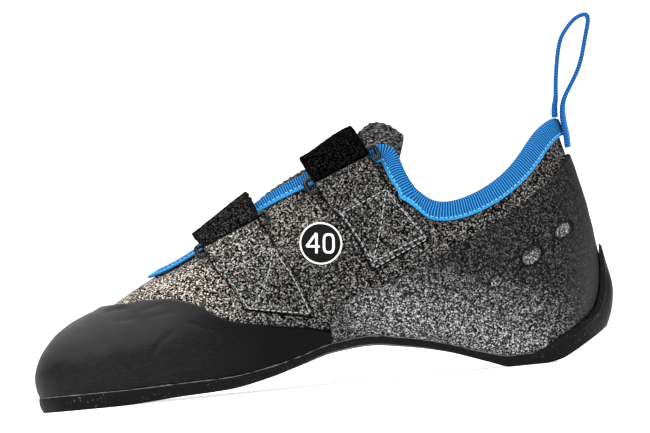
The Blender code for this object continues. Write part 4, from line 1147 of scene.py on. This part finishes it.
def insole_piece(material):
    ts = np.linspace(0, HEEL_T, 91)
    inset = WALL + GAP + INSOLE_EASE
    medial = skin(ts, 0.0) - outward_at(ts) * inset
    lateral = skin(-ts, 0.0) - outward_at(-ts) * inset
    grid = rungs(medial, lateral, 17)
    top = on_surface(grid, lambda x, y: sole_top(x, y) + GAP + INSOLE_THICKNESS)
    bottom = on_surface(grid, lambda x, y: sole_top(x, y) + GAP)
    points = np.concatenate([top.reshape(-1, 3), bottom.reshape(-1, 3)])
    mesh = make_mesh("insole_board", points, shell_quads(len(ts), 17, 17, False))
    return add_piece("insole_board", mesh, material, ["insole"])


def tongue_piece(material):
    ts = np.linspace(TONGUE[0].rib, TONGUE[-1].rib, 150)
    low, high, inset, crown, lean = (
        table(TONGUE, "rib", name, ts)[:, None]
        for name in ("low", "high", "inset", "crown", "lean")
    )
    v = low + (high - low) * np.linspace(0, 1, 12)[None, :]
    medial = skin_at(ts[:, None], v, -inset)
    lateral = skin_at(-ts[:, None], v, -inset)[:, ::-1]
    b = np.linspace(0, 1, 60)[None, 1:-1, None]
    arch = medial[:, -1:] * (1 - b) + lateral[:, :1] * b
    arch = arch + leaned(lean) * INSTEP_HEIGHT * crown[..., None] * (1 - np.abs(2 * b - 1) ** 2.0)
    grid = np.concatenate([medial, arch, lateral], axis=1)
    rows = run_length(grid, 0)
    away = np.minimum(rows, rows[-1:] - rows)
    quilt = QUILT_DEPTH * np.sin(rows * 2 * math.pi / QUILT_PITCH) * smooth(away / QUILT_MARGIN)
    mesh = sheet_mesh("tongue_knit", grid, TONGUE_THICKNESS, side=-1.0, swell=quilt)
    return add_piece("tongue_knit", mesh, material, ["tongue"])


RIB_PITCH = 0.00108
RIB_DEPTH = 0.00016


def binding_line():
    """Stations evenly along the top edge, enough for seven to each rib of the tape."""
    fine = np.linspace(0, RIB_COUNT, 4001)
    way = np.concatenate([[0], np.cumsum(np.linalg.norm(np.diff(skin(fine, 1.0), axis=0), axis=1))])
    count = int(round(way[-1] / RIB_PITCH))
    shares = np.arange(count * 7) / (count * 7)
    return np.interp(shares * way[-1], way, fine), shares * count


def binding_piece(material):
    ts, turns = binding_line()
    low_t, low_v, down = below_edge(ts, BINDING_HEIGHT)
    edge, normal, _ = skin_frame(ts, np.ones(len(ts)))
    rise = -down
    near, far, crown = GAP + BINDING_EASE, WALL + GAP + BINDING_EASE, GAP + BINDING_EASE / 2
    rib = 0.5 + 0.5 * np.cos(2 * math.pi * turns)
    proud = (RIB_DEPTH * (rib - 0.7))[:, None]
    full = BINDING_THICKNESS

    def side_rows(offset, first, last, count):
        shares = np.linspace(first, last, count)
        return [skin_at(low_t + (ts - low_t) * s, low_v + (1 - low_v) * s, offset) for s in shares]

    outside = [p + normal * proud for p in side_rows(near + full, 0.03, 1.0, 6)]
    middle = edge - normal * (near + far) / 2 + normal * near
    half = (near + far) / 2 + full
    over_top = []
    for angle in np.radians(np.linspace(0, 180, 11)):
        way = normal * math.cos(angle) * (half + 0 * proud) + rise * math.sin(angle) * (crown + 1.25 * full)
        over_top.append(middle + rise * crown * 0.6 + way + unit(way) * proud)
    inside = [p - normal * proud for p in side_rows(-far - full, 1.0, 0.03, 6)]
    back = side_rows(-far, 0.0, 1.0, 4)
    hollow = [edge + rise * crown * 0.9 - normal * far, edge + rise * crown * 0.9 + normal * near]
    front = side_rows(near, 1.0, 0.0, 4)
    section = outside + over_top + inside + back[:-1] + hollow + front[1:]
    tube = np.array(section + section[:1]).transpose(1, 0, 2)
    mark = np.broadcast_to(rib[:, None], tube.shape[:2]).copy()
    hem = np.zeros(tube.shape[:2])
    hem[:, 0] = 1.0
    hem[:, -1] = 1.0
    quads = flat_quads(len(ts), tube.shape[1], 0, True, False)
    mesh = make_mesh("binding_tape", tube.reshape(-1, 3), quads, {"rib": mark, "hem": hem})
    return add_piece("binding_tape", mesh, material, ["collar_binding"])


def loop_piece(material):
    share = edged(LOOP_WIDTH, LOOP_THICKNESS / 2, 25) - 0.5
    hug = np.array(column(LOOP, "hug"))[:, None]
    x = x_at(column(LOOP, "along"))[:, None] - LOOP_HUG * hug * (2 * share[None, :]) ** 2
    z = HEEL_HEIGHT * np.array(column(LOOP, "up"))[:, None] + 0 * x
    y = LOOP_WIDTH * share[None, :] + 0 * x
    grid = spline_rows(np.stack([x, y, z], -1), edged(LOOP_RUN, LOOP_THICKNESS / 2, 420))
    rows, columns = run_length(grid, 0), run_length(grid, 1)
    away = np.minimum(columns, columns[:, -1:] - columns)
    marks = {"edge": 1 - smooth((away - LOOP_EDGE) / LOOP_EDGE)}
    weave = LOOP_WEAVE_DEPTH * np.sin(rows * 2 * math.pi / LOOP_WEAVE_PITCH)
    mesh = sheet_mesh("pull_loop_webbing", grid, LOOP_THICKNESS, marks=marks, swell=weave, sink=weave)
    return add_piece("pull_loop_webbing", mesh, material, ["pull_loop"])


def arc(center, forward, normal, radius, first, last, steps):
    """Points round a bar. An angle of 0 lies along forward and 90 degrees along the normal."""
    angles = np.radians(np.linspace(first, last, steps))[:, None, None]
    return center[None] + radius * (np.cos(angles) * forward[None] + np.sin(angles) * normal[None])


def add_layers(low, high, point, out, row):
    lower = point + out * (row.rest + STRAP_THICKNESS / 2)
    low.append(lower)
    if row.apart > 0:
        high.append(lower + out * (STRAP_THICKNESS + row.apart))


def strap_and_ring(spec, share):
    """Centre sheet of a strap with its fold round the ring, and the ring's bar lines."""
    along = np.array([spec.front_along, spec.rear_along])
    up = np.array([spec.front_up, spec.rear_up])
    t_ends, v_ends = locate(along, up)
    _, normals, _ = skin_frame(t_ends, v_ends)
    normal = unit(normals.sum(axis=0))
    line = skin(t_ends, v_ends)
    rise = unit(np.cross(normal, line[1] - line[0]))
    rise = rise if rise[2] > 0 else -rise

    def bars(c):
        center = line[0] + (line[1] - line[0]) * c[:, None] + normal * spec.proud
        return center + rise * RING_ABOVE, center - rise * RING_BELOW

    upper_bar, _ = bars(share)
    fold = RING_WIRE + GAP + STRAP_THICKNESS / 2
    flat = np.ones((len(share), 1))
    turn = arc(upper_bar, -rise * flat, normal * flat, fold, -90, 90, 7)
    fine = np.linspace(1.0, HEEL_T / 2 + 1.5, 300)
    t_top = np.interp(x_at(along) - STRAP_LEAN, skin(fine, 1.0)[:, 0], fine)
    low, high = [], []
    for row in STRAP_BASE:
        down = row.down * np.array([-INSTEP_UP[0] * INSTEP_HEIGHT / LAST_LENGTH, -INSTEP_UP[2]])
        x = along[0] + down[0] + (along[1] - along[0]) * share
        z = up[0] + down[1] + (up[1] - up[0]) * share
        point, out, _ = skin_frame(*locate(x, z, -1))
        add_layers(low, high, point, out, row)
    t_base, v_base = locate(x, z, -1)
    t_fold, v_fold = (ends[0] + (ends[1] - ends[0]) * share for ends in (t_ends, v_ends))
    for row in [row for row in STRAP_PATH if spec.last_q < row.q < spec.first_q]:
        t = t_top[0] + (t_top[1] - t_top[0]) * share
        t = t + (t_fold - t) * np.maximum(1 - row.q, 0) / (1 - v_fold)
        t = t + (-t_base - t) * np.maximum(row.q - 2, 0) / (1 - v_base)
        point, out, _ = over_frame(t, np.full(t.shape, row.q))
        add_layers(low, high, point, out, row)
    sheet = np.concatenate([np.array(low), turn, np.array(high)[::-1]])
    return sheet, bars, normal


def strap_piece(place, sheet, material):
    grid = spline_rows(sheet, edged(STRAP_RUN, STRAP_THICKNESS / 2, 300))
    columns = run_length(grid, 1)
    away = np.minimum(columns, columns[:, -1:] - columns)
    selvedge = 1 - smooth((away - SELVEDGE_WIDTH) / 0.0004)
    groove = np.exp(-(((away - SELVEDGE_GROOVE) / 0.00025) ** 2))
    pile = PILE_DEPTH * ripple(grid, 700.0) * (1 - selvedge) - GROOVE_DEPTH * groove
    name = "strap_" + place + "_pile"
    marks = {"selvedge": selvedge}
    mesh = sheet_mesh(name, grid, STRAP_THICKNESS, marks=marks, swell=pile, sink=pile)
    return add_piece(name, mesh, material, ["strap_" + place])


def closed_tube(path, radius, sides=14):
    """Rows of points round a closed path."""
    tangent = unit(np.roll(path, -1, 0) - np.roll(path, 1, 0))
    guide = unit(np.cross(path[-1] - path[0], path[len(path) // 2] - path[0]) + 1e-9)
    inside = unit(np.cross(tangent, guide))
    square = unit(np.cross(inside, tangent))
    angles = np.linspace(0, 2 * math.pi, sides + 1)[None, :, None]
    return path[:, None] + radius * (np.cos(angles) * inside[:, None] + np.sin(angles) * square[:, None])


def ring_piece(place, bars, width, material):
    over_bar, under_bar = bars(np.array([-RING_BESIDE / width, 1 + RING_BESIDE / width]))
    corners = [over_bar[0], over_bar[1], under_bar[1], under_bar[0]]
    bend, path = RING_BEND, []
    for k, corner in enumerate(corners):
        before = unit(corners[k - 1] - corner)
        after = unit(corners[(k + 1) % 4] - corner)
        middle = corner + (before + after) * bend
        for angle in np.radians(np.linspace(0, 90, 9)):
            path.append(middle - after * bend * math.cos(angle) - before * bend * math.sin(angle))
        far = corners[(k + 1) % 4]
        for share in np.linspace(0, 1, 14)[1:-1]:
            path.append(corner + after * bend + (far - corner - 2 * after * bend) * share)
    tube = closed_tube(np.array(path), RING_WIRE)
    quads = flat_quads(len(tube), tube.shape[1], 0, True, False)
    name = "ring_" + place + "_wire"
    return add_piece(name, make_mesh(name, tube.reshape(-1, 3), quads), material, ["ring_" + place])


def tab_sheet(patch, bar, normal, share):
    """Centre sheet of a ring tab: a hidden return, the fold round the ring and the patch down the side."""
    rows = []
    for row in patch:
        x = row.front_along + (row.rear_along - row.front_along) * share
        z = row.front_up + (row.rear_up - row.front_up) * share
        t, v = locate(x, z)
        rows.append(skin_at(t, v, row.rest + TAB_THICKNESS / 2, True))
    across = unit(bar[-1] - bar[0])
    down = unit(np.cross(normal, across)) * np.ones((len(share), 1))
    down = down if down[0, 2] < 0 else -down
    normal = normal * np.ones((len(share), 1))
    fold = RING_WIRE + 2 * GAP + TAB_THICKNESS / 2
    turn = arc(bar, -down, normal, fold, -90, 90, 7)
    hidden = np.array([
        turn[0] + down * TAB_RETURN - normal * TAB_SINK,
        turn[0] + (down * TAB_RETURN - normal * TAB_SINK) / 2,
    ])
    return np.concatenate([hidden, turn, np.array(rows)])


# Stitch lines of a tab: from and to as shares across (front to rear) and down the patch
Seam = namedtuple("Seam", "across down to_across to_down")
FRONT_SEAMS = (
    Seam(0.06, 0.20, 0.93, 0.14), Seam(0.06, 0.20, 0.06, 0.93), Seam(0.06, 0.93, 0.94, 0.93),
    Seam(0.94, 0.93, 0.93, 0.14), Seam(0.91, 0.16, 0.10, 0.91),
)
REAR_SEAMS = (
    Seam(0.06, 0.20, 0.93, 0.18), Seam(0.06, 0.20, 0.06, 0.95), Seam(0.06, 0.95, 0.94, 0.95),
    Seam(0.94, 0.95, 0.93, 0.18), Seam(0.08, 0.89, 0.92, 0.89), Seam(0.91, 0.20, 0.10, 0.87),
)
STITCH_LENGTH = 0.0017
STITCH_GAP = 0.0007
STITCH_RADIUS = 0.00024
TAPE_STITCH_LENGTH, TAPE_STITCH_GAP, TAPE_STITCH_RADIUS = 0.0015, 0.0006, 0.0002
TAPE_STITCH_DOWN = 0.78
BEAD_RADIUS, BEAD_LEAST, BEAD_MOST = 0.00018, 0.00003, 0.0004
PATCH_START = 0.36


def capsule(middle, way, out, length, radius, points, faces):
    """One stitch: a thread that comes up, lies on the surface and goes down again."""
    sides, rings = 6, 5
    side = np.cross(way, out)
    start = len(points)
    for k in range(rings):
        share = k / (rings - 1) * 2 - 1
        centre = middle + way * share * length / 2 - out * radius * (1.6 * share**4)
        size = radius * (1 - 0.45 * share**4)
        for j in range(sides):
            angle = 2 * math.pi * j / sides
            points.append(centre + (side * math.cos(angle) + out * math.sin(angle)) * size)
    for k in range(rings - 1):
        for j in range(sides):
            a, b = start + k * sides + j, start + k * sides + (j + 1) % sides
            faces.append((a, b, b + sides, a + sides))
    last = start + (rings - 1) * sides
    faces.append(tuple(start + j for j in reversed(range(sides))))
    faces.append(tuple(last + j for j in range(sides)))


def sew(line, outs, points, faces, length=STITCH_LENGTH, gap=STITCH_GAP, radius=STITCH_RADIUS):
    """Stitches along a line of points with their outward directions."""
    way = np.concatenate([[0], np.cumsum(np.linalg.norm(np.diff(line, axis=0), axis=1))])
    count = max(1, int(way[-1] / (length + gap)))
    for k in range(count):
        at = way[-1] * (k + 0.5) / count + RANDOM.uniform(-0.1, 0.1) * gap
        middle = np.array([np.interp(at, way, line[:, c]) for c in range(3)])
        out = unit(np.array([np.interp(at, way, outs[:, c]) for c in range(3)]))
        ahead = np.array([np.interp(at + length / 3, way, line[:, c]) for c in range(3)])
        behind = np.array([np.interp(at - length / 3, way, line[:, c]) for c in range(3)])
        direction = unit(ahead - behind)
        out = unit(out - direction * (out @ direction))
        size = length * RANDOM.uniform(0.9, 1.06)
        capsule(middle + out * radius * 0.35, direction, out, size, radius, points, faces)


def thread_piece(name, points, faces, material):
    mesh = bpy.data.meshes.new(name)
    mesh.from_pydata([tuple(map(float, p)) for p in points], [], faces)
    mesh.shade_smooth()
    return add_piece(name, mesh, material)


def tab_pieces(place, patch, seams, bars, normal, material, thread):
    share = edged(TAB_WIDTH, TAB_THICKNESS / 2, 70)
    _, lower_bar = bars(share)
    sheet = tab_sheet(patch, lower_bar, normal, share)
    grid = spline_rows(sheet, edged(TAB_RUN, TAB_THICKNESS / 2, 130))
    name = "strap_tab_" + place + "_suede"
    down = np.linspace(0, 1, len(grid))
    press = np.zeros(grid.shape[:2])
    top, _, normals = cushion(grid, TAB_THICKNESS)
    points, faces = [], []
    for seam in seams:
        steps = np.linspace(0, 1, 40)
        a = seam.across + (seam.to_across - seam.across) * steps
        b = PATCH_START + (seam.down + (seam.to_down - seam.down) * steps) * (1 - PATCH_START)
        i, j = b * (len(grid) - 1), np.interp(a, share, np.arange(len(share)))
        i0, j0 = np.clip(i.astype(int), 0, len(grid) - 2), np.clip(j.astype(int), 0, len(share) - 2)
        fi, fj = (i - i0)[:, None], (j - j0)[:, None]

        def between(values):
            low = values[i0, j0] * (1 - fj) + values[i0, j0 + 1] * fj
            return low * (1 - fi) + (values[i0 + 1, j0] * (1 - fj) + values[i0 + 1, j0 + 1] * fj) * fi

        line, outs = between(top), between(normals)
        for p in line[::2]:
            away = np.linalg.norm(grid - p, axis=-1)
            press = np.maximum(press, np.exp(-((away - TAB_THICKNESS / 2) / SEAM_WIDTH) ** 2))
        sew(line, outs, points, faces)
    swell = TAB_UNEVEN * ripple(grid, 260.0, 5.0) - SEAM_PRESS * press * (down > 0.2)[:, None]
    rows, columns = run_length(grid, 0), run_length(grid, 1)
    beside, below = np.minimum(columns, columns[:, -1:] - columns), rows[-1:] - rows
    # Dark cut edge along the sides, widened along the bottom edge into a painted shadow under the tab
    cut_edge_and_shadow = np.maximum(1 - smooth((beside - 0.0003) / 0.0006), 1 - smooth((below - 0.0007) / 0.0008))
    mesh = sheet_mesh(name, grid, TAB_THICKNESS, marks={"cut_edge_and_shadow": cut_edge_and_shadow}, swell=swell)
    add_piece(name, mesh, material, ["strap_tab_" + place])
    thread_piece("strap_tab_" + place + "_stitches", points, faces, thread)


def binding_stitches(thread):
    """Thread line near the lower edge of the binding tape, on the outside."""
    ts = np.linspace(0, RIB_COUNT, 1200)
    t, v, _ = below_edge(ts, TAPE_STITCH_DOWN * BINDING_HEIGHT)
    point, normal, _ = skin_frame(t, v)
    lift = GAP + BINDING_EASE + BINDING_THICKNESS
    points, faces = [], []
    sew(point + normal * lift, normal, points, faces, TAPE_STITCH_LENGTH, TAPE_STITCH_GAP, TAPE_STITCH_RADIUS)
    thread_piece("binding_stitches", points, faces, thread)


def joint_piece(material):
    """Thin uneven bead of rubber pressed out between the rands and the sole."""
    ts = np.linspace(0, RIB_COUNT, 1001)[:-1]
    _, _, _, outward, top, _ = outsole_edges(ts)
    path = top + UP * 0.0002 - outward * 0.0001
    size = np.clip(BEAD_RADIUS * (1 + 0.9 * ripple(path, 420.0, 2.0)), BEAD_LEAST, BEAD_MOST)
    angles = np.linspace(0, 2 * math.pi, 7)[None, :, None]
    ring = outward[:, None] * np.cos(angles) + UP[None, None] * np.sin(angles)
    tube = path[:, None] + ring * size[:, None, None]
    quads = flat_quads(len(ts), 7, 0, True, False)
    mesh = make_mesh("sole_joint_bead", tube.reshape(-1, 3), quads)
    return add_piece("sole_joint_bead", mesh, material)


def mark_pieces(dark, pale):
    """Round printed size mark: a dark disc, a pale ring and the number."""
    t, v = locate(np.array([MARK_ALONG]), np.array([MARK_UP]))
    centre, out, _ = skin_frame(t, v)
    centre, out = centre[0], out[0]
    across = unit(np.array([math.cos(ROLL), 0.0, -math.sin(ROLL)]))
    across = unit(across - out * (across @ out))
    upright = unit(np.cross(across, out))
    upright = upright if upright[2] > 0 else -upright

    def lay(flat, lift):
        """Points of the mark's plane, put down on the skin."""
        spots = centre + flat[..., :1] * across + flat[..., 1:] * upright
        along, up = along_at(spots[..., 0]), spots[..., 2] / INSTEP_HEIGHT
        tt, vv = locate(along.ravel(), up.ravel())
        return skin_at(tt, vv, lift, True).reshape(*flat.shape[:-1], 3)

    def patch(name, flat, lift, thick, material):
        top, bottom = lay(flat, lift + thick), lay(flat, lift)
        points = np.concatenate([top.reshape(-1, 3), bottom.reshape(-1, 3)])
        quads = shell_quads(flat.shape[0], flat.shape[1], flat.shape[1], False)
        add_piece(name, make_mesh(name, points, quads), material)

    angles = np.linspace(0, 2 * math.pi, 73)
    circle = np.stack([np.cos(angles), np.sin(angles)], -1)[:, None, :]
    radii = np.linspace(0.02, 1.0, 12)[None, :, None]
    patch("size_mark_disc", circle * radii * (MARK_RADIUS - MARK_RING * 0.5), 0.00002, 0.00012, dark)
    ring = MARK_RADIUS - MARK_RING * np.linspace(0, 1, 3)[None, :, None]
    patch("size_mark_ring", circle * ring, 0.00004, 0.00016, pale)
    tall, wide, stroke = DIGIT_HALF_TALL, DIGIT_HALF_WIDE, DIGIT_STROKE
    oval = np.sign(circle) * np.abs(circle) ** DIGIT_SQUARENESS
    inner = np.array([wide - stroke, tall - stroke])
    outer = np.array([wide, tall])
    share = np.linspace(0, 1, 3)[None, :, None]
    zero = oval * (outer * (1 - share) + inner * share) + np.array([ZERO_RIGHT, 0.0])
    patch("size_mark_digit_b", zero, 0.00004, 0.00016, pale)
    strokes = (
        ((FOUR_STEM, tall), (FOUR_LEFT, FOUR_BAR)),
        ((FOUR_LEFT, FOUR_BAR), (FOUR_RIGHT, FOUR_BAR)),
        ((FOUR_STEM, tall), (FOUR_STEM, -tall)),
    )
    for k, (a, b) in enumerate(strokes):
        a, b = np.array(a), np.array(b)
        way = unit(b - a)
        side = np.array([-way[1], way[0]]) * stroke / 2
        line = a[None] + (b - a)[None] * np.linspace(0, 1, 10)[:, None]
        flat = line[:, None] + side[None, None] * np.linspace(-1, 1, 3)[None, :, None]
        patch("size_mark_digit_a" + str(k), flat, 0.00004, 0.00016 + 0.00001 * k, pale)


def build_shoe():
    blue, groove_shade_blue = (0.020, 0.205, 0.520), (0.000, 0.016, 0.070)
    suede = suede_material("suede", (0.150, 0.137, 0.125), (0.036, 0.035, 0.034), True)
    tab_suede = suede_material("tab_suede", (0.110, 0.105, 0.099), (0.036, 0.035, 0.034))
    thread = plain_material("pale_thread", (0.30, 0.34, 0.36), 0.8)
    blue_thread = plain_material("blue_thread", (0.16, 0.48, 0.85), 0.8)
    # The two straps share one pile at two tones, the front one paler.
    piles = {"front": pile_material(0.95), "rear": pile_material(0.22)}
    wire = plain_material("wire", (0.002, 0.002, 0.002), 0.10, 0.22)
    upper_piece(suede)
    toe_rand_piece(toe_rubber_material())
    heel_rand_piece(heel_rubber_material())
    outsole_piece(outsole_material())
    insole_piece(textile_material("insole_textile", (0.050, 0.050, 0.052), 0.0009, 0.0003))
    tongue_piece(textile_material("tongue_textile", (0.052, 0.052, 0.051), 0.0007, 0.0005))
    binding_piece(tape_material("blue_tape", blue, groove_shade_blue))
    loop_piece(webbing_material())
    for place, spec, patch, seams in (
        ("front", FRONT_STRAP, FRONT_TAB, FRONT_SEAMS),
        ("rear", REAR_STRAP, REAR_TAB, REAR_SEAMS),
    ):
        sheet, bars, normal = strap_and_ring(spec, edged(spec.width, STRAP_THICKNESS / 2, 70))
        strap_piece(place, sheet, piles[place])
        ring_piece(place, bars, spec.width, wire)
        tab_pieces(place, patch, seams, bars, normal, tab_suede, thread)
    binding_stitches(blue_thread)
    joint_piece(plain_material("joint_rubber", (0.10, 0.10, 0.10), 0.5))
    mark_pieces(plain_material("mark_dark", (0.004, 0.004, 0.004), 0.6),
                plain_material("mark_pale", (0.72, 0.72, 0.70), 0.6))


def build_floor():
    """Pale floor that rises far behind the shoe into a wall."""
    profile = [(-FLOOR_FRONT, 0.0), (FLOOR_BACK, 0.0)]
    for angle in np.radians(np.linspace(0, 90, 17)[1:]):
        away, up = FLOOR_BEND * math.sin(angle), FLOOR_BEND * (1 - math.cos(angle))
        profile.append((FLOOR_BACK + away, up))
    profile.append((FLOOR_BACK + FLOOR_BEND, FLOOR_BEND + FLOOR_WALL))
    vertices = [(x, y, z) for y, z in profile for x in (-FLOOR_HALF, FLOOR_HALF)]
    faces = [(2 * k, 2 * k + 1, 2 * k + 3, 2 * k + 2) for k in range(len(profile) - 1)]
    mesh = bpy.data.meshes.new("floor")
    mesh.from_pydata(vertices, [], faces)
    mesh.shade_smooth()
    floor = bpy.data.objects.new("floor", mesh)
    bpy.context.scene.collection.objects.link(floor)
    material = bpy.data.materials.new("floor_paper")
    material.use_nodes = True
    set_inputs(material, {
        "Base Color": (0.75, 0.75, 0.75, 1.0), "Roughness": 0.95, "Specular IOR Level": 0.0,
        "Emission Color": (1.0, 1.0, 1.0, 1.0), "Emission Strength": 0.75,
    })
    mesh.materials.append(material)


def add_light(name, place, target, size, power):
    data = bpy.data.lights.new(name, "AREA")
    data.shape, data.size, data.energy = "SQUARE", size, power
    lamp = bpy.data.objects.new(name, data)
    bpy.context.scene.collection.objects.link(lamp)
    lamp.location = place
    lamp.rotation_mode = "QUATERNION"
    lamp.rotation_quaternion = (Vector(target) - Vector(place)).to_track_quat("-Z", "Y")


def build_light():
    world = bpy.data.worlds.new("studio")
    bpy.context.scene.world = world
    world.use_nodes = True
    background = world.node_tree.nodes["Background"]
    background.inputs["Color"].default_value = (1.0, 1.0, 1.0, 1.0)
    background.inputs["Strength"].default_value = 0.9
    target = (-0.08, 0.0, 0.05)
    add_light("key", (-0.9, -1.3, 1.5), target, 1.0, 34.0)
    add_light("fill", (1.1, -1.2, 0.5), target, 1.0, 9.0)
    add_light("top", (-0.1, 0.5, 1.7), target, 1.2, 20.0)


def build_camera():
    data = bpy.data.cameras.new("camera")
    data.sensor_width = 36.0
    data.lens = data.sensor_width * VIEW_DISTANCE / VIEW_WIDTH
    data.clip_start, data.clip_end = 0.05, 30.0
    camera = bpy.data.objects.new("camera", data)
    bpy.context.scene.collection.objects.link(camera)
    right = Vector((math.cos(ROLL), 0.0, -math.sin(ROLL)))
    up = Vector((math.sin(ROLL), 0.0, math.cos(ROLL)))
    back = Vector((0.0, -1.0, 0.0))
    turn = Matrix((right, up, back)).transposed().to_4x4()
    camera.matrix_world = Matrix.Translation(VIEW_MIDDLE + back * VIEW_DISTANCE) @ turn
    bpy.context.scene.camera = camera


build_shoe()
build_floor()
build_light()
build_camera()
bpy.context.scene.view_settings.view_transform = "Standard"
